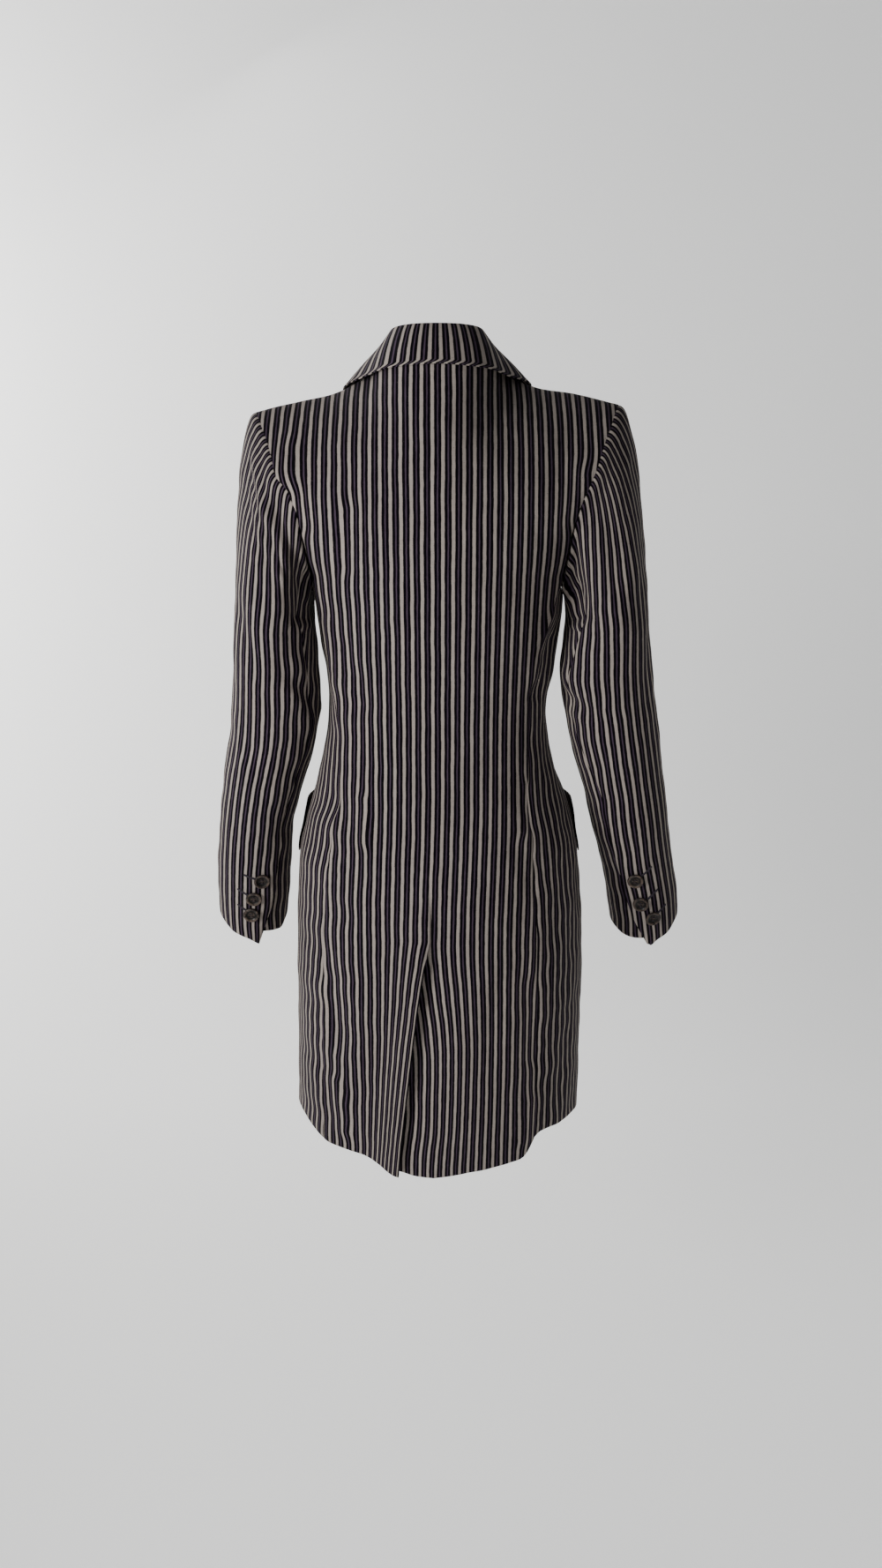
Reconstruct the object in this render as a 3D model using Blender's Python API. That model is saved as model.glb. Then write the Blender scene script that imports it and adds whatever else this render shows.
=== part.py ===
"""A long, fitted, single-breasted linen jacket as it hangs on a wearer.

Lengths are metres, Z is up, +X is the wearer's left and -Y the wearer's front. The origin lies between
the shoulders, level with the base of the collar. Every cut piece is a thin wall of cloth about a middle
surface that is worked out from the tables below, and every button is turned from its own profile.
"""

import bpy
import numpy as np

# Cloth and seams
WALL = 0.0018
GAP = 0.0003
LAP_LIFT = 0.0014
ROUNDNESS = 2.25

# The body, one row per level: half widths of the wearer's left and right, then the back and the front.
BODY_LEVEL, BODY_LEFT, BODY_RIGHT, BODY_BACK, BODY_FRONT = np.array(
    [
        (-0.900, 0.179, 0.178, 0.141, -0.140),
        (-0.780, 0.174, 0.176, 0.139, -0.137),
        (-0.620, 0.169, 0.174, 0.136, -0.131),
        (-0.540, 0.165, 0.168, 0.130, -0.127),
        (-0.500, 0.160, 0.163, 0.124, -0.124),
        (-0.460, 0.149, 0.153, 0.114, -0.121),
        (-0.420, 0.138, 0.138, 0.102, -0.118),
        (-0.380, 0.129, 0.128, 0.092, -0.116),
        (-0.345, 0.125, 0.125, 0.088, -0.117),
        (-0.300, 0.127, 0.132, 0.091, -0.124),
        (-0.250, 0.134, 0.138, 0.099, -0.131),
        (-0.190, 0.140, 0.141, 0.107, -0.129),
        (-0.120, 0.142, 0.142, 0.108, -0.110),
    ]
).T
UNDERARM = -0.190

# The centre back seam above the underarm, from there to the neck: level, back.
SPINE_LEVEL, SPINE_BACK = np.array(
    [(-0.25, 0.099), (-0.19, 0.107), (-0.12, 0.108), (-0.06, 0.103), (-0.01, 0.094), (0.0285, 0.085)]
).T
SPINE_X = 0.0085

# The two long back seams, measured from the centre back seam: level, distance on the left and on the right.
SIDE_SEAM_LEVEL, SIDE_SEAM_LEFT, SIDE_SEAM_RIGHT = np.array(
    [
        (-0.90, 0.1300, 0.1240),
        (-0.56, 0.1190, 0.1190),
        (-0.47, 0.1100, 0.1135),
        (-0.43, 0.1010, 0.1100),
        (-0.38, 0.1000, 0.1095),
        (-0.34, 0.1030, 0.1105),
        (-0.30, 0.1120, 0.1140),
        (-0.26, 0.1195, 0.1230),
        (-0.23, 0.1235, 0.1335),
        (-0.19, 0.1270, 0.1450),
    ]
).T

# The seams in front of the sides: level, place in front of the shoulder line.
FORE_SEAM_LEVEL, FORE_SEAM_Y = np.array(
    [(-0.90, -0.060), (-0.60, -0.055), (-0.42, -0.050), (-0.30, -0.052), (-0.19, -0.048)]
).T

# The hem round the body, wavy at the back: angle from the back, level on the left, level on the right.
HEM_ANGLE, HEM_LEFT, HEM_RIGHT = np.array(
    [
        (-20.0, -0.878, -0.877),
        (0.0, -0.878, -0.877),
        (14.0, -0.878, -0.872),
        (21.0, -0.874, -0.870),
        (28.0, -0.8625, -0.868),
        (34.0, -0.856, -0.866),
        (41.0, -0.8545, -0.860),
        (46.0, -0.854, -0.840),
        (52.0, -0.8545, -0.836),
        (60.0, -0.848, -0.838),
        (68.0, -0.841, -0.840),
        (76.0, -0.841, -0.845),
        (90.0, -0.855, -0.860),
        (180.0, -0.868, -0.868),
        (200.0, -0.868, -0.868),
    ]
).T

# The vent of the back: where it opens, and how far its edge swings to the left by the hem.
VENT_TOP = -0.578
VENT_LENGTH = 0.30
VENT_SWING = 0.037
UNDERLAP = 0.012

# The fronts: how far each passes the centre, and where the lapel turns back.
FRONT_PAST = 0.018
BREAK_LEVEL = -0.270
ROLL_AT_UNDERARM = 0.0056

# Neck and shoulders of the wearer's left. The right mirrors them.
NECK = np.array(
    [
        (0.0085, 0.085, 0.0285),
        (0.030, 0.080, 0.0285),
        (0.048, 0.063, 0.0275),
        (0.061, 0.035, 0.0245),
        (0.067, 0.000, 0.0190),
    ]
)
RIGHT_SHOULDER_RISE = 0.0075
RISE_FROM_X, RISE_RUN_X = 0.07, 0.06
RISE_FROM_LEVEL, RISE_RUN_LEVEL = -0.10, 0.07
SHOULDER = np.array(
    [
        (0.067, 0.000, 0.0190),
        (0.083, 0.000, 0.0080),
        (0.105, 0.000, -0.0030),
        (0.145, 0.001, -0.0120),
        (0.170, 0.002, -0.0175),
        (0.192, 0.002, -0.0230),
    ]
)
BACK_ARMHOLE = np.array(
    [
        (0.1378, 0.046, -0.171),
        (0.1410, 0.059, -0.146),
        (0.1465, 0.067, -0.122),
        (0.1565, 0.065, -0.097),
        (0.1670, 0.057, -0.074),
        (0.1755, 0.043, -0.0545),
        (0.1840, 0.025, -0.0360),
        (0.1895, 0.011, -0.0260),
        (0.1920, 0.002, -0.0230),
    ]
)
FRONT_ARMHOLE = np.array(
    [
        (0.1370, -0.061, -0.160),
        (0.1380, -0.068, -0.132),
        (0.1430, -0.068, -0.105),
        (0.1520, -0.060, -0.080),
        (0.1650, -0.044, -0.055),
        (0.1800, -0.022, -0.034),
        (0.1920, 0.002, -0.0230),
    ]
)
FRONT_NECK = np.array(
    [
        (0.018, -0.122, -0.145),
        (0.032, -0.106, -0.095),
        (0.045, -0.084, -0.050),
        (0.056, -0.055, -0.015),
        (0.063, -0.027, 0.006),
        (0.067, 0.000, 0.0190),
    ]
)
ARMHOLE_BOTTOM = -0.213

# Each panel runs from the hem at height 0 to its top at height 1, and passes the underarm here.
UNDER_AT = 0.72
NECK_AT = 0.40
TURN_POWER = 4
EDGE_POWER = 2.4

# How a panel leaves the underarm and rolls over to the shoulder: directions with the length of their pull.
BACK_RISE = np.array([0.0, 0.02, 0.21])
BACK_ROLL = np.array([0.0, -0.08, 0.04])
BACK_SHOULDER_LEAVE = np.array([0.10, 0.0, 0.0])
BACK_SHOULDER_ARRIVE = np.array([0.10, -0.03, -0.02])
FRONT_RISE = np.array([0.0, 0.01, 0.21])
FRONT_ROLL = np.array([0.0, 0.06, 0.04])
FRONT_CHEST = np.array([(0.052, -0.075, 0.004)])
FRONT_SHOULDER_LEAVE = np.array([0.14, 0.0, -0.01])
FRONT_SHOULDER_ARRIVE = np.array([0.12, 0.05, -0.03])

# Where one half lifts to pass over the other: shares across the panel, and levels above the vent's top.
BACK_LAP_FROM, BACK_LAP_RUN = 0.12, 0.30
FRONT_LAP_FROM, FRONT_LAP_RUN = 0.14, 0.30
FRONT_LAP_TOP, FRONT_LAP_FADE = 0.70, 0.10
VENT_LAP_ABOVE, VENT_LAP_FADE = 0.06, 0.05

# The largest folds of the body: 1 on the back or -1 on the front, from x and level, to x and level, half
# width and height. Ridges are above zero and troughs below.
BODY_FOLDS = (
    (1, 0.149, -0.046, 0.161, -0.086, 0.011, 0.0030),
    (1, 0.153, -0.084, 0.135, -0.129, 0.010, 0.0028),
    (1, 0.158, -0.103, 0.142, -0.128, 0.009, -0.0035),
    (1, 0.086, -0.081, 0.099, -0.136, 0.011, -0.0034),
    (1, 0.073, -0.102, 0.091, -0.158, 0.011, 0.0020),
    (1, 0.098, -0.264, 0.080, -0.326, 0.010, -0.0028),
    (1, 0.112, -0.293, 0.095, -0.368, 0.010, 0.0022),
    (1, 0.087, -0.327, 0.083, -0.394, 0.009, -0.0024),
    (1, 0.116, -0.433, 0.095, -0.456, 0.009, -0.0024),
    (1, 0.118, -0.484, 0.099, -0.503, 0.009, -0.0022),
    (1, 0.124, -0.617, 0.114, -0.713, 0.012, -0.0028),
    (1, -0.145, -0.033, -0.129, -0.081, 0.010, -0.0026),
    (1, -0.138, -0.215, -0.115, -0.272, 0.010, -0.0036),
    (1, -0.129, -0.235, -0.106, -0.300, 0.009, 0.0026),
    (1, -0.127, -0.262, -0.108, -0.321, 0.009, -0.0030),
    (1, -0.091, -0.423, -0.105, -0.457, 0.009, -0.0022),
    (1, -0.086, -0.477, -0.106, -0.518, 0.010, -0.0020),
    (1, -0.069, -0.635, -0.060, -0.745, 0.012, -0.0026),
    (1, -0.099, -0.619, -0.110, -0.734, 0.012, -0.0024),
    (-1, 0.030, -0.375, 0.090, -0.330, 0.011, -0.0030),
    (-1, -0.034, -0.380, -0.096, -0.345, 0.011, -0.0034),
    (-1, 0.040, -0.400, 0.104, -0.430, 0.012, 0.0026),
    (-1, -0.050, -0.405, -0.108, -0.420, 0.012, 0.0022),
    (-1, 0.118, -0.215, 0.090, -0.285, 0.011, -0.0032),
    (-1, -0.120, -0.205, -0.086, -0.270, 0.011, -0.0030),
    (-1, 0.070, -0.640, 0.078, -0.760, 0.013, -0.0026),
    (-1, -0.085, -0.620, -0.080, -0.730, 0.013, -0.0028),
)
FOLD_FACING_DEPTH = 0.03

# The largest folds of the sleeves: 1 for the left or -1 for the right, from angle and place, to angle and
# place, half width and height.
SLEEVE_FOLDS = (
    (1, 38.0, 0.120, 76.0, 0.175, 0.010, -0.0030),
    (1, 39.0, 0.075, 100.0, 0.140, 0.011, 0.0030),
    (1, 62.0, 0.075, 118.0, 0.125, 0.011, -0.0038),
    (1, 46.0, 0.305, 74.0, 0.405, 0.011, -0.0026),
    (1, 108.0, 0.405, 148.0, 0.475, 0.010, -0.0034),
    (1, 124.0, 0.455, 156.0, 0.540, 0.010, 0.0026),
    (1, 250.0, 0.480, 200.0, 0.545, 0.011, -0.0036),
    (1, 262.0, 0.560, 208.0, 0.590, 0.011, -0.0030),
    (1, 300.0, 0.120, 272.0, 0.190, 0.012, -0.0032),
    (-1, 64.0, 0.070, 80.0, 0.215, 0.012, -0.0028),
    (-1, 40.0, 0.100, 52.0, 0.230, 0.012, 0.0024),
    (-1, 130.0, 0.135, 116.0, 0.265, 0.010, -0.0032),
    (-1, 114.0, 0.440, 160.0, 0.425, 0.009, 0.0026),
    (-1, 124.0, 0.475, 162.0, 0.455, 0.009, -0.0034),
    (-1, 107.0, 0.700, 130.0, 0.630, 0.011, -0.0024),
    (-1, 248.0, 0.470, 204.0, 0.530, 0.011, -0.0034),
    (-1, 258.0, 0.545, 210.0, 0.580, 0.011, -0.0030),
    (-1, 296.0, 0.110, 270.0, 0.180, 0.012, -0.0030),
)
SLEEVE_LENGTH = 0.47
SLEEVE_METRES_PER_DEGREE = 0.0009

# The sleeves, one row per ring down the arm: level, outer edge, inner edge, middle from front to back, half
# depth.
SLEEVE_LEFT = np.array(
    [
        (-0.2500, 0.2255, 0.1375, 0.004, 0.068),
        (-0.3000, 0.2295, 0.1345, 0.007, 0.062),
        (-0.3380, 0.2340, 0.1340, 0.006, 0.057),
        (-0.3800, 0.2400, 0.1425, 0.000, 0.054),
        (-0.4240, 0.2495, 0.1570, -0.006, 0.052),
        (-0.4775, 0.2585, 0.1725, -0.015, 0.050),
        (-0.5240, 0.2655, 0.1780, -0.022, 0.048),
        (-0.5700, 0.2700, 0.1830, -0.030, 0.046),
        (-0.6100, 0.2710, 0.1890, -0.036, 0.044),
        (-0.6350, 0.2695, 0.1910, -0.040, 0.043),
    ]
)
SLEEVE_RIGHT = np.array(
    [
        (-0.2500, 0.2360, 0.1440, 0.004, 0.068),
        (-0.3000, 0.2420, 0.1390, 0.007, 0.062),
        (-0.3530, 0.2510, 0.1490, 0.003, 0.057),
        (-0.3940, 0.2585, 0.1590, -0.002, 0.054),
        (-0.4240, 0.2635, 0.1690, -0.006, 0.052),
        (-0.4640, 0.2710, 0.1800, -0.012, 0.051),
        (-0.5050, 0.2785, 0.1910, -0.019, 0.049),
        (-0.5410, 0.2855, 0.2015, -0.026, 0.047),
        (-0.5950, 0.2970, 0.2120, -0.034, 0.045),
        (-0.6370, 0.3010, 0.2200, -0.040, 0.043),
    ]
)
CAP_AT = 0.34
TURN_CLEARANCE = 0.0006
CAP_SPRING = 0.34
CAP_DROP = 0.70

# Seams down the sleeve as angles round it, 0 outside, 90 at the back, 180 inside: place down the sleeve,
# angle on the left, angle on the right.
ELBOW_SEAM_AT, ELBOW_SEAM_LEFT, ELBOW_SEAM_RIGHT = np.array(
    [
        (0.00, 128.0, 128.0),
        (0.34, 140.0, 140.0),
        (0.50, 147.0, 151.0),
        (0.62, 142.0, 134.0),
        (0.80, 136.0, 126.0),
        (0.89, 124.0, 115.0),
        (0.94, 116.0, 106.0),
        (1.00, 100.0, 88.0),
    ]
).T
INNER_SEAM_AT, INNER_SEAM = np.array([(0.0, 236.0), (0.34, 228.0), (1.0, 232.0)]).T
CUFF_VENT_AT = 0.84
CUFF_VENT_RUN = 0.035
CUFF_OVERLAP_DEG = 5.0
CUFF_UNDERLAP_DEG = 14.0
CUFF_LAP_LIFT = 0.0021
CUFF_LAP_ABOVE, CUFF_LAP_FADE = 0.07, 0.06
UPPER_LAP_FROM, UNDER_LAP_RUN = 0.72, 0.42

# Where the cuff's edge lies, as a place down the sleeve. The upper sleeve hangs to a point beside its vent.
# Angle, place on the left, place on the right.
UPPER_CUFF_ANGLE, UPPER_CUFF_LEFT, UPPER_CUFF_RIGHT = np.array(
    [
        (-130.0, 0.965, 0.965),
        (-60.0, 0.960, 0.960),
        (0.0, 0.955, 0.960),
        (35.0, 0.960, 0.965),
        (60.0, 0.974, 0.982),
        (78.0, 0.980, 0.990),
        (90.0, 0.985, 1.000),
        (105.0, 1.000, 1.000),
    ]
).T
UNDER_CUFF_ANGLE, UNDER_CUFF_LEFT, UNDER_CUFF_RIGHT = np.array(
    [
        (70.0, 0.972, 0.980),
        (100.0, 0.970, 0.984),
        (137.0, 0.980, 0.980),
        (154.0, 0.984, 0.972),
        (170.0, 0.972, 0.968),
        (232.0, 0.965, 0.965),
    ]
).T
CUFF_EDGE_FROM = 0.85


def through(keys, values, at):
    """A smooth curve through values at rising keys. The slope at each key comes from its neighbours."""
    keys = np.asarray(keys, float)
    values = np.asarray(values, float)
    slopes = np.gradient(values, keys, axis=0)
    at = np.clip(np.asarray(at, float), keys[0], keys[-1])
    low = np.clip(np.searchsorted(keys, at, side="right") - 1, 0, len(keys) - 2)
    step = keys[low + 1] - keys[low]
    part = (at - keys[low]) / step
    if values.ndim == 2:
        step = step[..., None]
        part = part[..., None]
    square = part * part
    cube = square * part
    return (
        (2 * cube - 3 * square + 1) * values[low]
        + (cube - 2 * square + part) * step * slopes[low]
        + (3 * square - 2 * cube) * values[low + 1]
        + (cube - square) * step * slopes[low + 1]
    )


def ease(part):
    """0 to 1 with level ends."""
    part = np.clip(part, 0.0, 1.0)
    return part * part * (3 - 2 * part)


def unit(vectors):
    return vectors / np.maximum(np.linalg.norm(vectors, axis=-1, keepdims=True), 1e-12)


def lengths_along(points):
    """Each point's share of the way along the line through them."""
    steps = np.linalg.norm(np.diff(points, axis=0), axis=1)
    way = np.concatenate([[0.0], np.cumsum(steps)])
    return way / way[-1]


def placed(points, side):
    """Points of the wearer's left brought to a side. The right shoulder stands a little higher."""
    moved = points * np.array([side, 1.0, 1.0])
    if side < 0:
        outwards = ease((points[:, 0] - RISE_FROM_X) / RISE_RUN_X)
        upwards = ease((points[:, 2] - RISE_FROM_LEVEL) / RISE_RUN_LEVEL)
        moved[:, 2] += RIGHT_SHOULDER_RISE * outwards * upwards
    return moved


def mirrored(way, side):
    """A direction of the wearer's left brought to a side."""
    return way * np.array([side, 1.0, 1.0])


def hermite(start, leave, end, arrive, part):
    square = part * part
    cube = square * part
    return (
        (2 * cube - 3 * square + 1) * start
        + (cube - 2 * square + part) * leave
        + (3 * square - 2 * cube) * end
        + (cube - square) * arrive
    )


# Folds


def fold_height(rows, first, second):
    """The height of soft folds along short lines, at places given by two coordinates in metres."""
    height = 0.0 * first
    for x1, y1, x2, y2, half_width, rise in rows:
        run, climb = x2 - x1, y2 - y1
        along = np.clip(((first - x1) * run + (second - y1) * climb) / (run * run + climb * climb), 0, 1)
        away = np.hypot(first - x1 - along * run, second - y1 - along * climb)
        height = height + rise * np.exp(-((away / half_width) ** 2))
    return height


def folded(points):
    """Moves points of the body's cloth in or out by its folds. Pieces that meet at a seam move as one."""
    moved = points.copy()
    for facing in (1, -1):
        rows = [row[1:] for row in BODY_FOLDS if row[0] == facing]
        shown = ease(facing * points[..., 1] / FOLD_FACING_DEPTH)
        height = fold_height(rows, points[..., 0], points[..., 2]) * shown
        level_way = points * np.array([1.0, 1.0, 0.0])
        moved = moved + unit(level_way) * height[..., None]
    return moved


# The body below the underarm


def body_sizes(angle, level):
    left = through(BODY_LEVEL, BODY_LEFT, level)
    right = through(BODY_LEVEL, BODY_RIGHT, level)
    back = through(BODY_LEVEL, BODY_BACK, level)
    front = through(BODY_LEVEL, BODY_FRONT, level)
    return np.where(np.sin(angle) >= 0, left, right), (back - front) / 2, (back + front) / 2


def body(angle, level):
    """A point of the body at an angle from the back, growing towards the wearer's left."""
    half, depth, middle = body_sizes(angle, level)
    sine = np.sin(angle)
    cosine = np.cos(angle)
    reach = (np.abs(sine / half) ** ROUNDNESS + np.abs(cosine / depth) ** ROUNDNESS) ** (-1 / ROUNDNESS)
    return np.stack([reach * sine, middle + reach * cosine, level + 0 * reach], axis=-1)


def angle_at_x(x, level, facing):
    """The angle of the back (facing 1) or front (facing -1) at a sideways place."""
    half, depth, _ = body_sizes(np.sign(x) * 1.0, level)
    inside = np.clip(1 - np.abs(x / half) ** ROUNDNESS, 0, 1)
    return np.arctan2(x, facing * depth * inside ** (1 / ROUNDNESS))


def angle_at_y(y, level, side):
    half, depth, middle = body_sizes(side * 1.0 + 0 * level, level)
    inside = np.clip(1 - np.abs((y - middle) / depth) ** ROUNDNESS, 0, 1)
    return np.arctan2(side * half * inside ** (1 / ROUNDNESS), y - middle)


def hem_level(angle):
    degrees = np.degrees(np.abs(angle))
    left = through(HEM_ANGLE, HEM_LEFT, degrees)
    right = through(HEM_ANGLE, HEM_RIGHT, degrees)
    return np.where(angle >= 0, left, right)


def vent_swing(level):
    """How far the vent's edge has moved to the wearer's left at this level."""
    return VENT_SWING * np.clip((VENT_TOP - level) / VENT_LENGTH, 0, 1) ** 0.8


def level_of(height, hem, top):
    return hem + (top - hem) * height


def back_edges(side, level):
    """Angles of a back panel's centre edge and side edge."""
    swing = vent_swing(level)
    if side < 0:
        swing = swing + UNDERLAP * ease((VENT_TOP - level) / 0.03)
    centre = angle_at_x(SPINE_X + swing, level, 1)
    reach = through(SIDE_SEAM_LEVEL, SIDE_SEAM_LEFT if side > 0 else SIDE_SEAM_RIGHT, level)
    return centre, angle_at_x(SPINE_X + side * reach, level, 1)


def top_patch(bottom, top, soft_top, inner, outer, rise, roll, across, height):
    """A panel above the underarm, filled between its four edges. It rises upright towards a soft top line,
    and only near its top turns to meet its true top edge."""
    across = across[..., None]
    height = height[..., None]

    def column(at):
        turned = (top(at) - soft_top(at)) * height**TURN_POWER
        return hermite(bottom(at), rise, soft_top(at), roll, height) + turned

    first = inner(height) - column(0 * across)
    last = outer(height) - column(0 * across + 1)
    return column(across) + (1 - across) * first + across**EDGE_POWER * last


def edge_curve(points):
    """A function of the share of the way along the smooth line through the points."""
    share = lengths_along(points)
    return lambda part: through(share, points, part[..., 0])


def back_top(side):
    """The four edges of a back panel above the underarm."""
    start, end = back_edges(side, np.array(UNDERARM))
    spine_levels = np.linspace(UNDERARM, 0.0285, 12)
    spine = np.stack(
        [
            through([UNDERARM, 0.0285], [SPINE_X, SPINE_X], spine_levels),
            through(SPINE_LEVEL, SPINE_BACK, spine_levels),
            spine_levels,
        ],
        axis=-1,
    )
    foot = body(end, np.array(UNDERARM))
    armhole = np.vstack([foot, placed(BACK_ARMHOLE, side)])
    neck = placed(NECK, side)
    neck[0, 0] = SPINE_X
    shoulder = placed(SHOULDER, side)
    neck_line = edge_curve(neck)
    shoulder_line = edge_curve(shoulder)

    def bottom(across):
        return body(start + (end - start) * across[..., 0], UNDERARM + 0 * across[..., 0])

    def top(across):
        on_neck = neck_line(np.clip(across / NECK_AT, 0, 1))
        on_shoulder = shoulder_line(np.clip((across - NECK_AT) / (1 - NECK_AT), 0, 1))
        return np.where(across < NECK_AT, on_neck, on_shoulder)

    soft_start, soft_end = top(np.zeros(1)), top(np.ones(1))
    leave = mirrored(BACK_SHOULDER_LEAVE, side)
    arrive = mirrored(BACK_SHOULDER_ARRIVE, side)

    def soft_top(across):
        return hermite(soft_start, leave, soft_end, arrive, across)

    return bottom, top, soft_top, edge_curve(spine), edge_curve(armhole), BACK_RISE, BACK_ROLL


def front_top(side):
    start = angle_at_x(side * ROLL_AT_UNDERARM, np.array(UNDERARM), -1)
    end = angle_at_y(through(FORE_SEAM_LEVEL, FORE_SEAM_Y, UNDERARM), np.array(UNDERARM), side)
    armhole = np.vstack([body(end, np.array(UNDERARM)), placed(FRONT_ARMHOLE, side)])
    neck = np.vstack([body(start, np.array(UNDERARM)), placed(FRONT_NECK, side)])
    shoulder_line = edge_curve(placed(SHOULDER, side))

    def bottom(across):
        return body(start + (end - start) * across[..., 0], UNDERARM + 0 * across[..., 0])

    soft_start = placed(FRONT_CHEST, side)[0]
    soft_end = shoulder_line(np.ones(1))
    leave = mirrored(FRONT_SHOULDER_LEAVE, side)
    arrive = mirrored(FRONT_SHOULDER_ARRIVE, side)

    def soft_top(across):
        return hermite(soft_start, leave, soft_end, arrive, across)

    return bottom, shoulder_line, soft_top, edge_curve(neck), edge_curve(armhole), FRONT_RISE, FRONT_ROLL


TOPS = {("back", side): back_top(side) for side in (1, -1)}
TOPS.update({("front", side): front_top(side) for side in (1, -1)})


def panel(side, across, height, hem_at, edges, top_name):
    """Below the underarm a panel follows the body between its two edges. Above, it fills its top patch."""
    low = np.clip(height / UNDER_AT, 0, 1)
    high = np.clip((height - UNDER_AT) / (1 - UNDER_AT), 0, 1)
    hem = hem_level(hem_at)
    level = level_of(low, hem, UNDERARM)
    start, end = edges(side, level)
    lower = body(start + (end - start) * across, level)
    upper = top_patch(*TOPS[(top_name, side)], across, high)
    return np.where((height <= UNDER_AT)[..., None], lower, upper)


def back_flat(side, across, height):
    start, end = back_edges(side, np.array(-0.87))
    return panel(side, across, height, start + (end - start) * across, back_edges, "back")


def front_edges(side, level):
    """Angles of a front's centre edge and of its side seam."""
    roll = FRONT_PAST + (ROLL_AT_UNDERARM + FRONT_PAST) * np.clip(
        (level - BREAK_LEVEL) / (UNDERARM - BREAK_LEVEL), 0, 1
    ) * -1
    start = angle_at_x(-side * roll, level, -1)
    start = np.where(side * start < 0, start + side * 2 * np.pi, start)
    end = angle_at_y(through(FORE_SEAM_LEVEL, FORE_SEAM_Y, level), level, side)
    return start, end


def front_flat(side, across, height):
    start, end = front_edges(side, np.array(-0.86))
    angle = start + (end - start) * across
    angle = np.where(np.abs(angle) > np.pi, np.sign(angle) * np.pi, angle)
    return panel(side, across, height, angle, front_edges, "front")


def side_flat(side, across, height):
    """The panel under the arm, whose top edge dips to the bottom of the armhole."""
    hem_start = back_edges(side, np.array(-0.86))[1]
    hem_end = angle_at_y(-0.06, np.array(-0.86), side)
    hem = hem_level(hem_start + (hem_end - hem_start) * across)
    dip = 1 - (2 * across - 1) ** 2
    top = UNDERARM + (ARMHOLE_BOTTOM - UNDERARM) * np.sqrt(np.clip(dip, 0, 1))
    level = level_of(height, hem, top)
    start = back_edges(side, level)[1]
    end = angle_at_y(through(FORE_SEAM_LEVEL, FORE_SEAM_Y, level), level, side)
    return body(start + (end - start) * across, level)


def outward(surface, turn, across, height, step=1e-4):
    """The unit direction out of a surface, turn being 1 or -1 to pick the outer face."""
    right = surface(np.minimum(across + step, 1), height) - surface(np.maximum(across - step, 0), height)
    up = surface(across, np.minimum(height + step, 1)) - surface(across, np.maximum(height - step, 0))
    return turn * unit(np.cross(right, up))


def lifted(surface, turn, across, height, lift):
    return surface(across, height) + outward(surface, turn, across, height) * np.asarray(lift)[..., None]


def ridge_up(side):
    """The direction out of the cloth along the shoulder seam, shared by the back and the front."""
    line = placed(SHOULDER, side)
    share = lengths_along(line)

    def direction(part):
        ahead = through(share, line, np.minimum(part + 0.01, 1))
        behind = through(share, line, np.maximum(part - 0.01, 0))
        run = ahead - behind
        return unit(np.stack([-run[..., 2] * side, 0 * run[..., 0], run[..., 0] * side], axis=-1))

    return direction


def back_lift(side, across, height):
    """The left half passes outside the right one along the vent."""
    level = back_flat(side, across, height)[..., 2]
    opened = ease((VENT_TOP + VENT_LAP_ABOVE - level) / VENT_LAP_FADE)
    near = 1 - ease((across - BACK_LAP_FROM) / BACK_LAP_RUN)
    return side * LAP_LIFT * opened * near


def front_lift(side, across, height):
    """The right front passes outside the left one below the break."""
    near = 1 - ease((across - FRONT_LAP_FROM) / FRONT_LAP_RUN)
    low = 1 - ease((height - FRONT_LAP_TOP) / FRONT_LAP_FADE)
    return -side * LAP_LIFT * near * low


def back(side):
    def flat(across, height):
        return back_flat(side, across, height)

    def surface(across, height):
        return folded(lifted(flat, -side, across, height, back_lift(side, across, height)))

    return surface


def front(side):
    def flat(across, height):
        return front_flat(side, across, height)

    def surface(across, height):
        return folded(lifted(flat, side, across, height, front_lift(side, across, height)))

    return surface


def side_panel(side):
    return lambda across, height: folded(side_flat(side, across, height))


# The sleeves


def armhole_loop(side):
    """The armhole as a closed line from the shoulder round the back, the underarm and the front, with the
    cloth's outer direction and its direction of running off the edge at each point."""
    rows = 40
    up = np.linspace(UNDER_AT, 1, rows)[::-1]
    one = np.ones(rows)
    under = np.linspace(0, 1, 2 * rows)
    pieces = []
    for surface, turn, across, height, on_top in (
        (back(side), -side, one, up, False),
        (side_panel(side), -side, under, np.ones(2 * rows), True),
        (front(side), side, one, up[::-1], False),
    ):
        points = surface(across, height)
        normals = outward(surface, turn, across, height)
        leaving = normals if on_top else unit(points - surface(across - 0.03, height))
        pieces.append((points, normals, leaving))
    points, normals, leaving = (np.concatenate(parts) for parts in zip(*pieces))
    bottom = rows + rows
    share = np.concatenate(
        [0.5 * lengths_along(points[: bottom + 1]), 0.5 + 0.5 * lengths_along(points[bottom:])[1:]]
    )
    keep = np.concatenate([[True], np.diff(share) > 1e-6])
    return share[keep], points[keep], normals[keep], leaving[keep]


def between(keys, values, at):
    return np.stack([np.interp(at, keys, values[:, axis]) for axis in range(values.shape[1])], axis=-1)


def sleeve_table(side):
    return SLEEVE_LEFT if side > 0 else SLEEVE_RIGHT


RING_STEP = 1e-3


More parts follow.
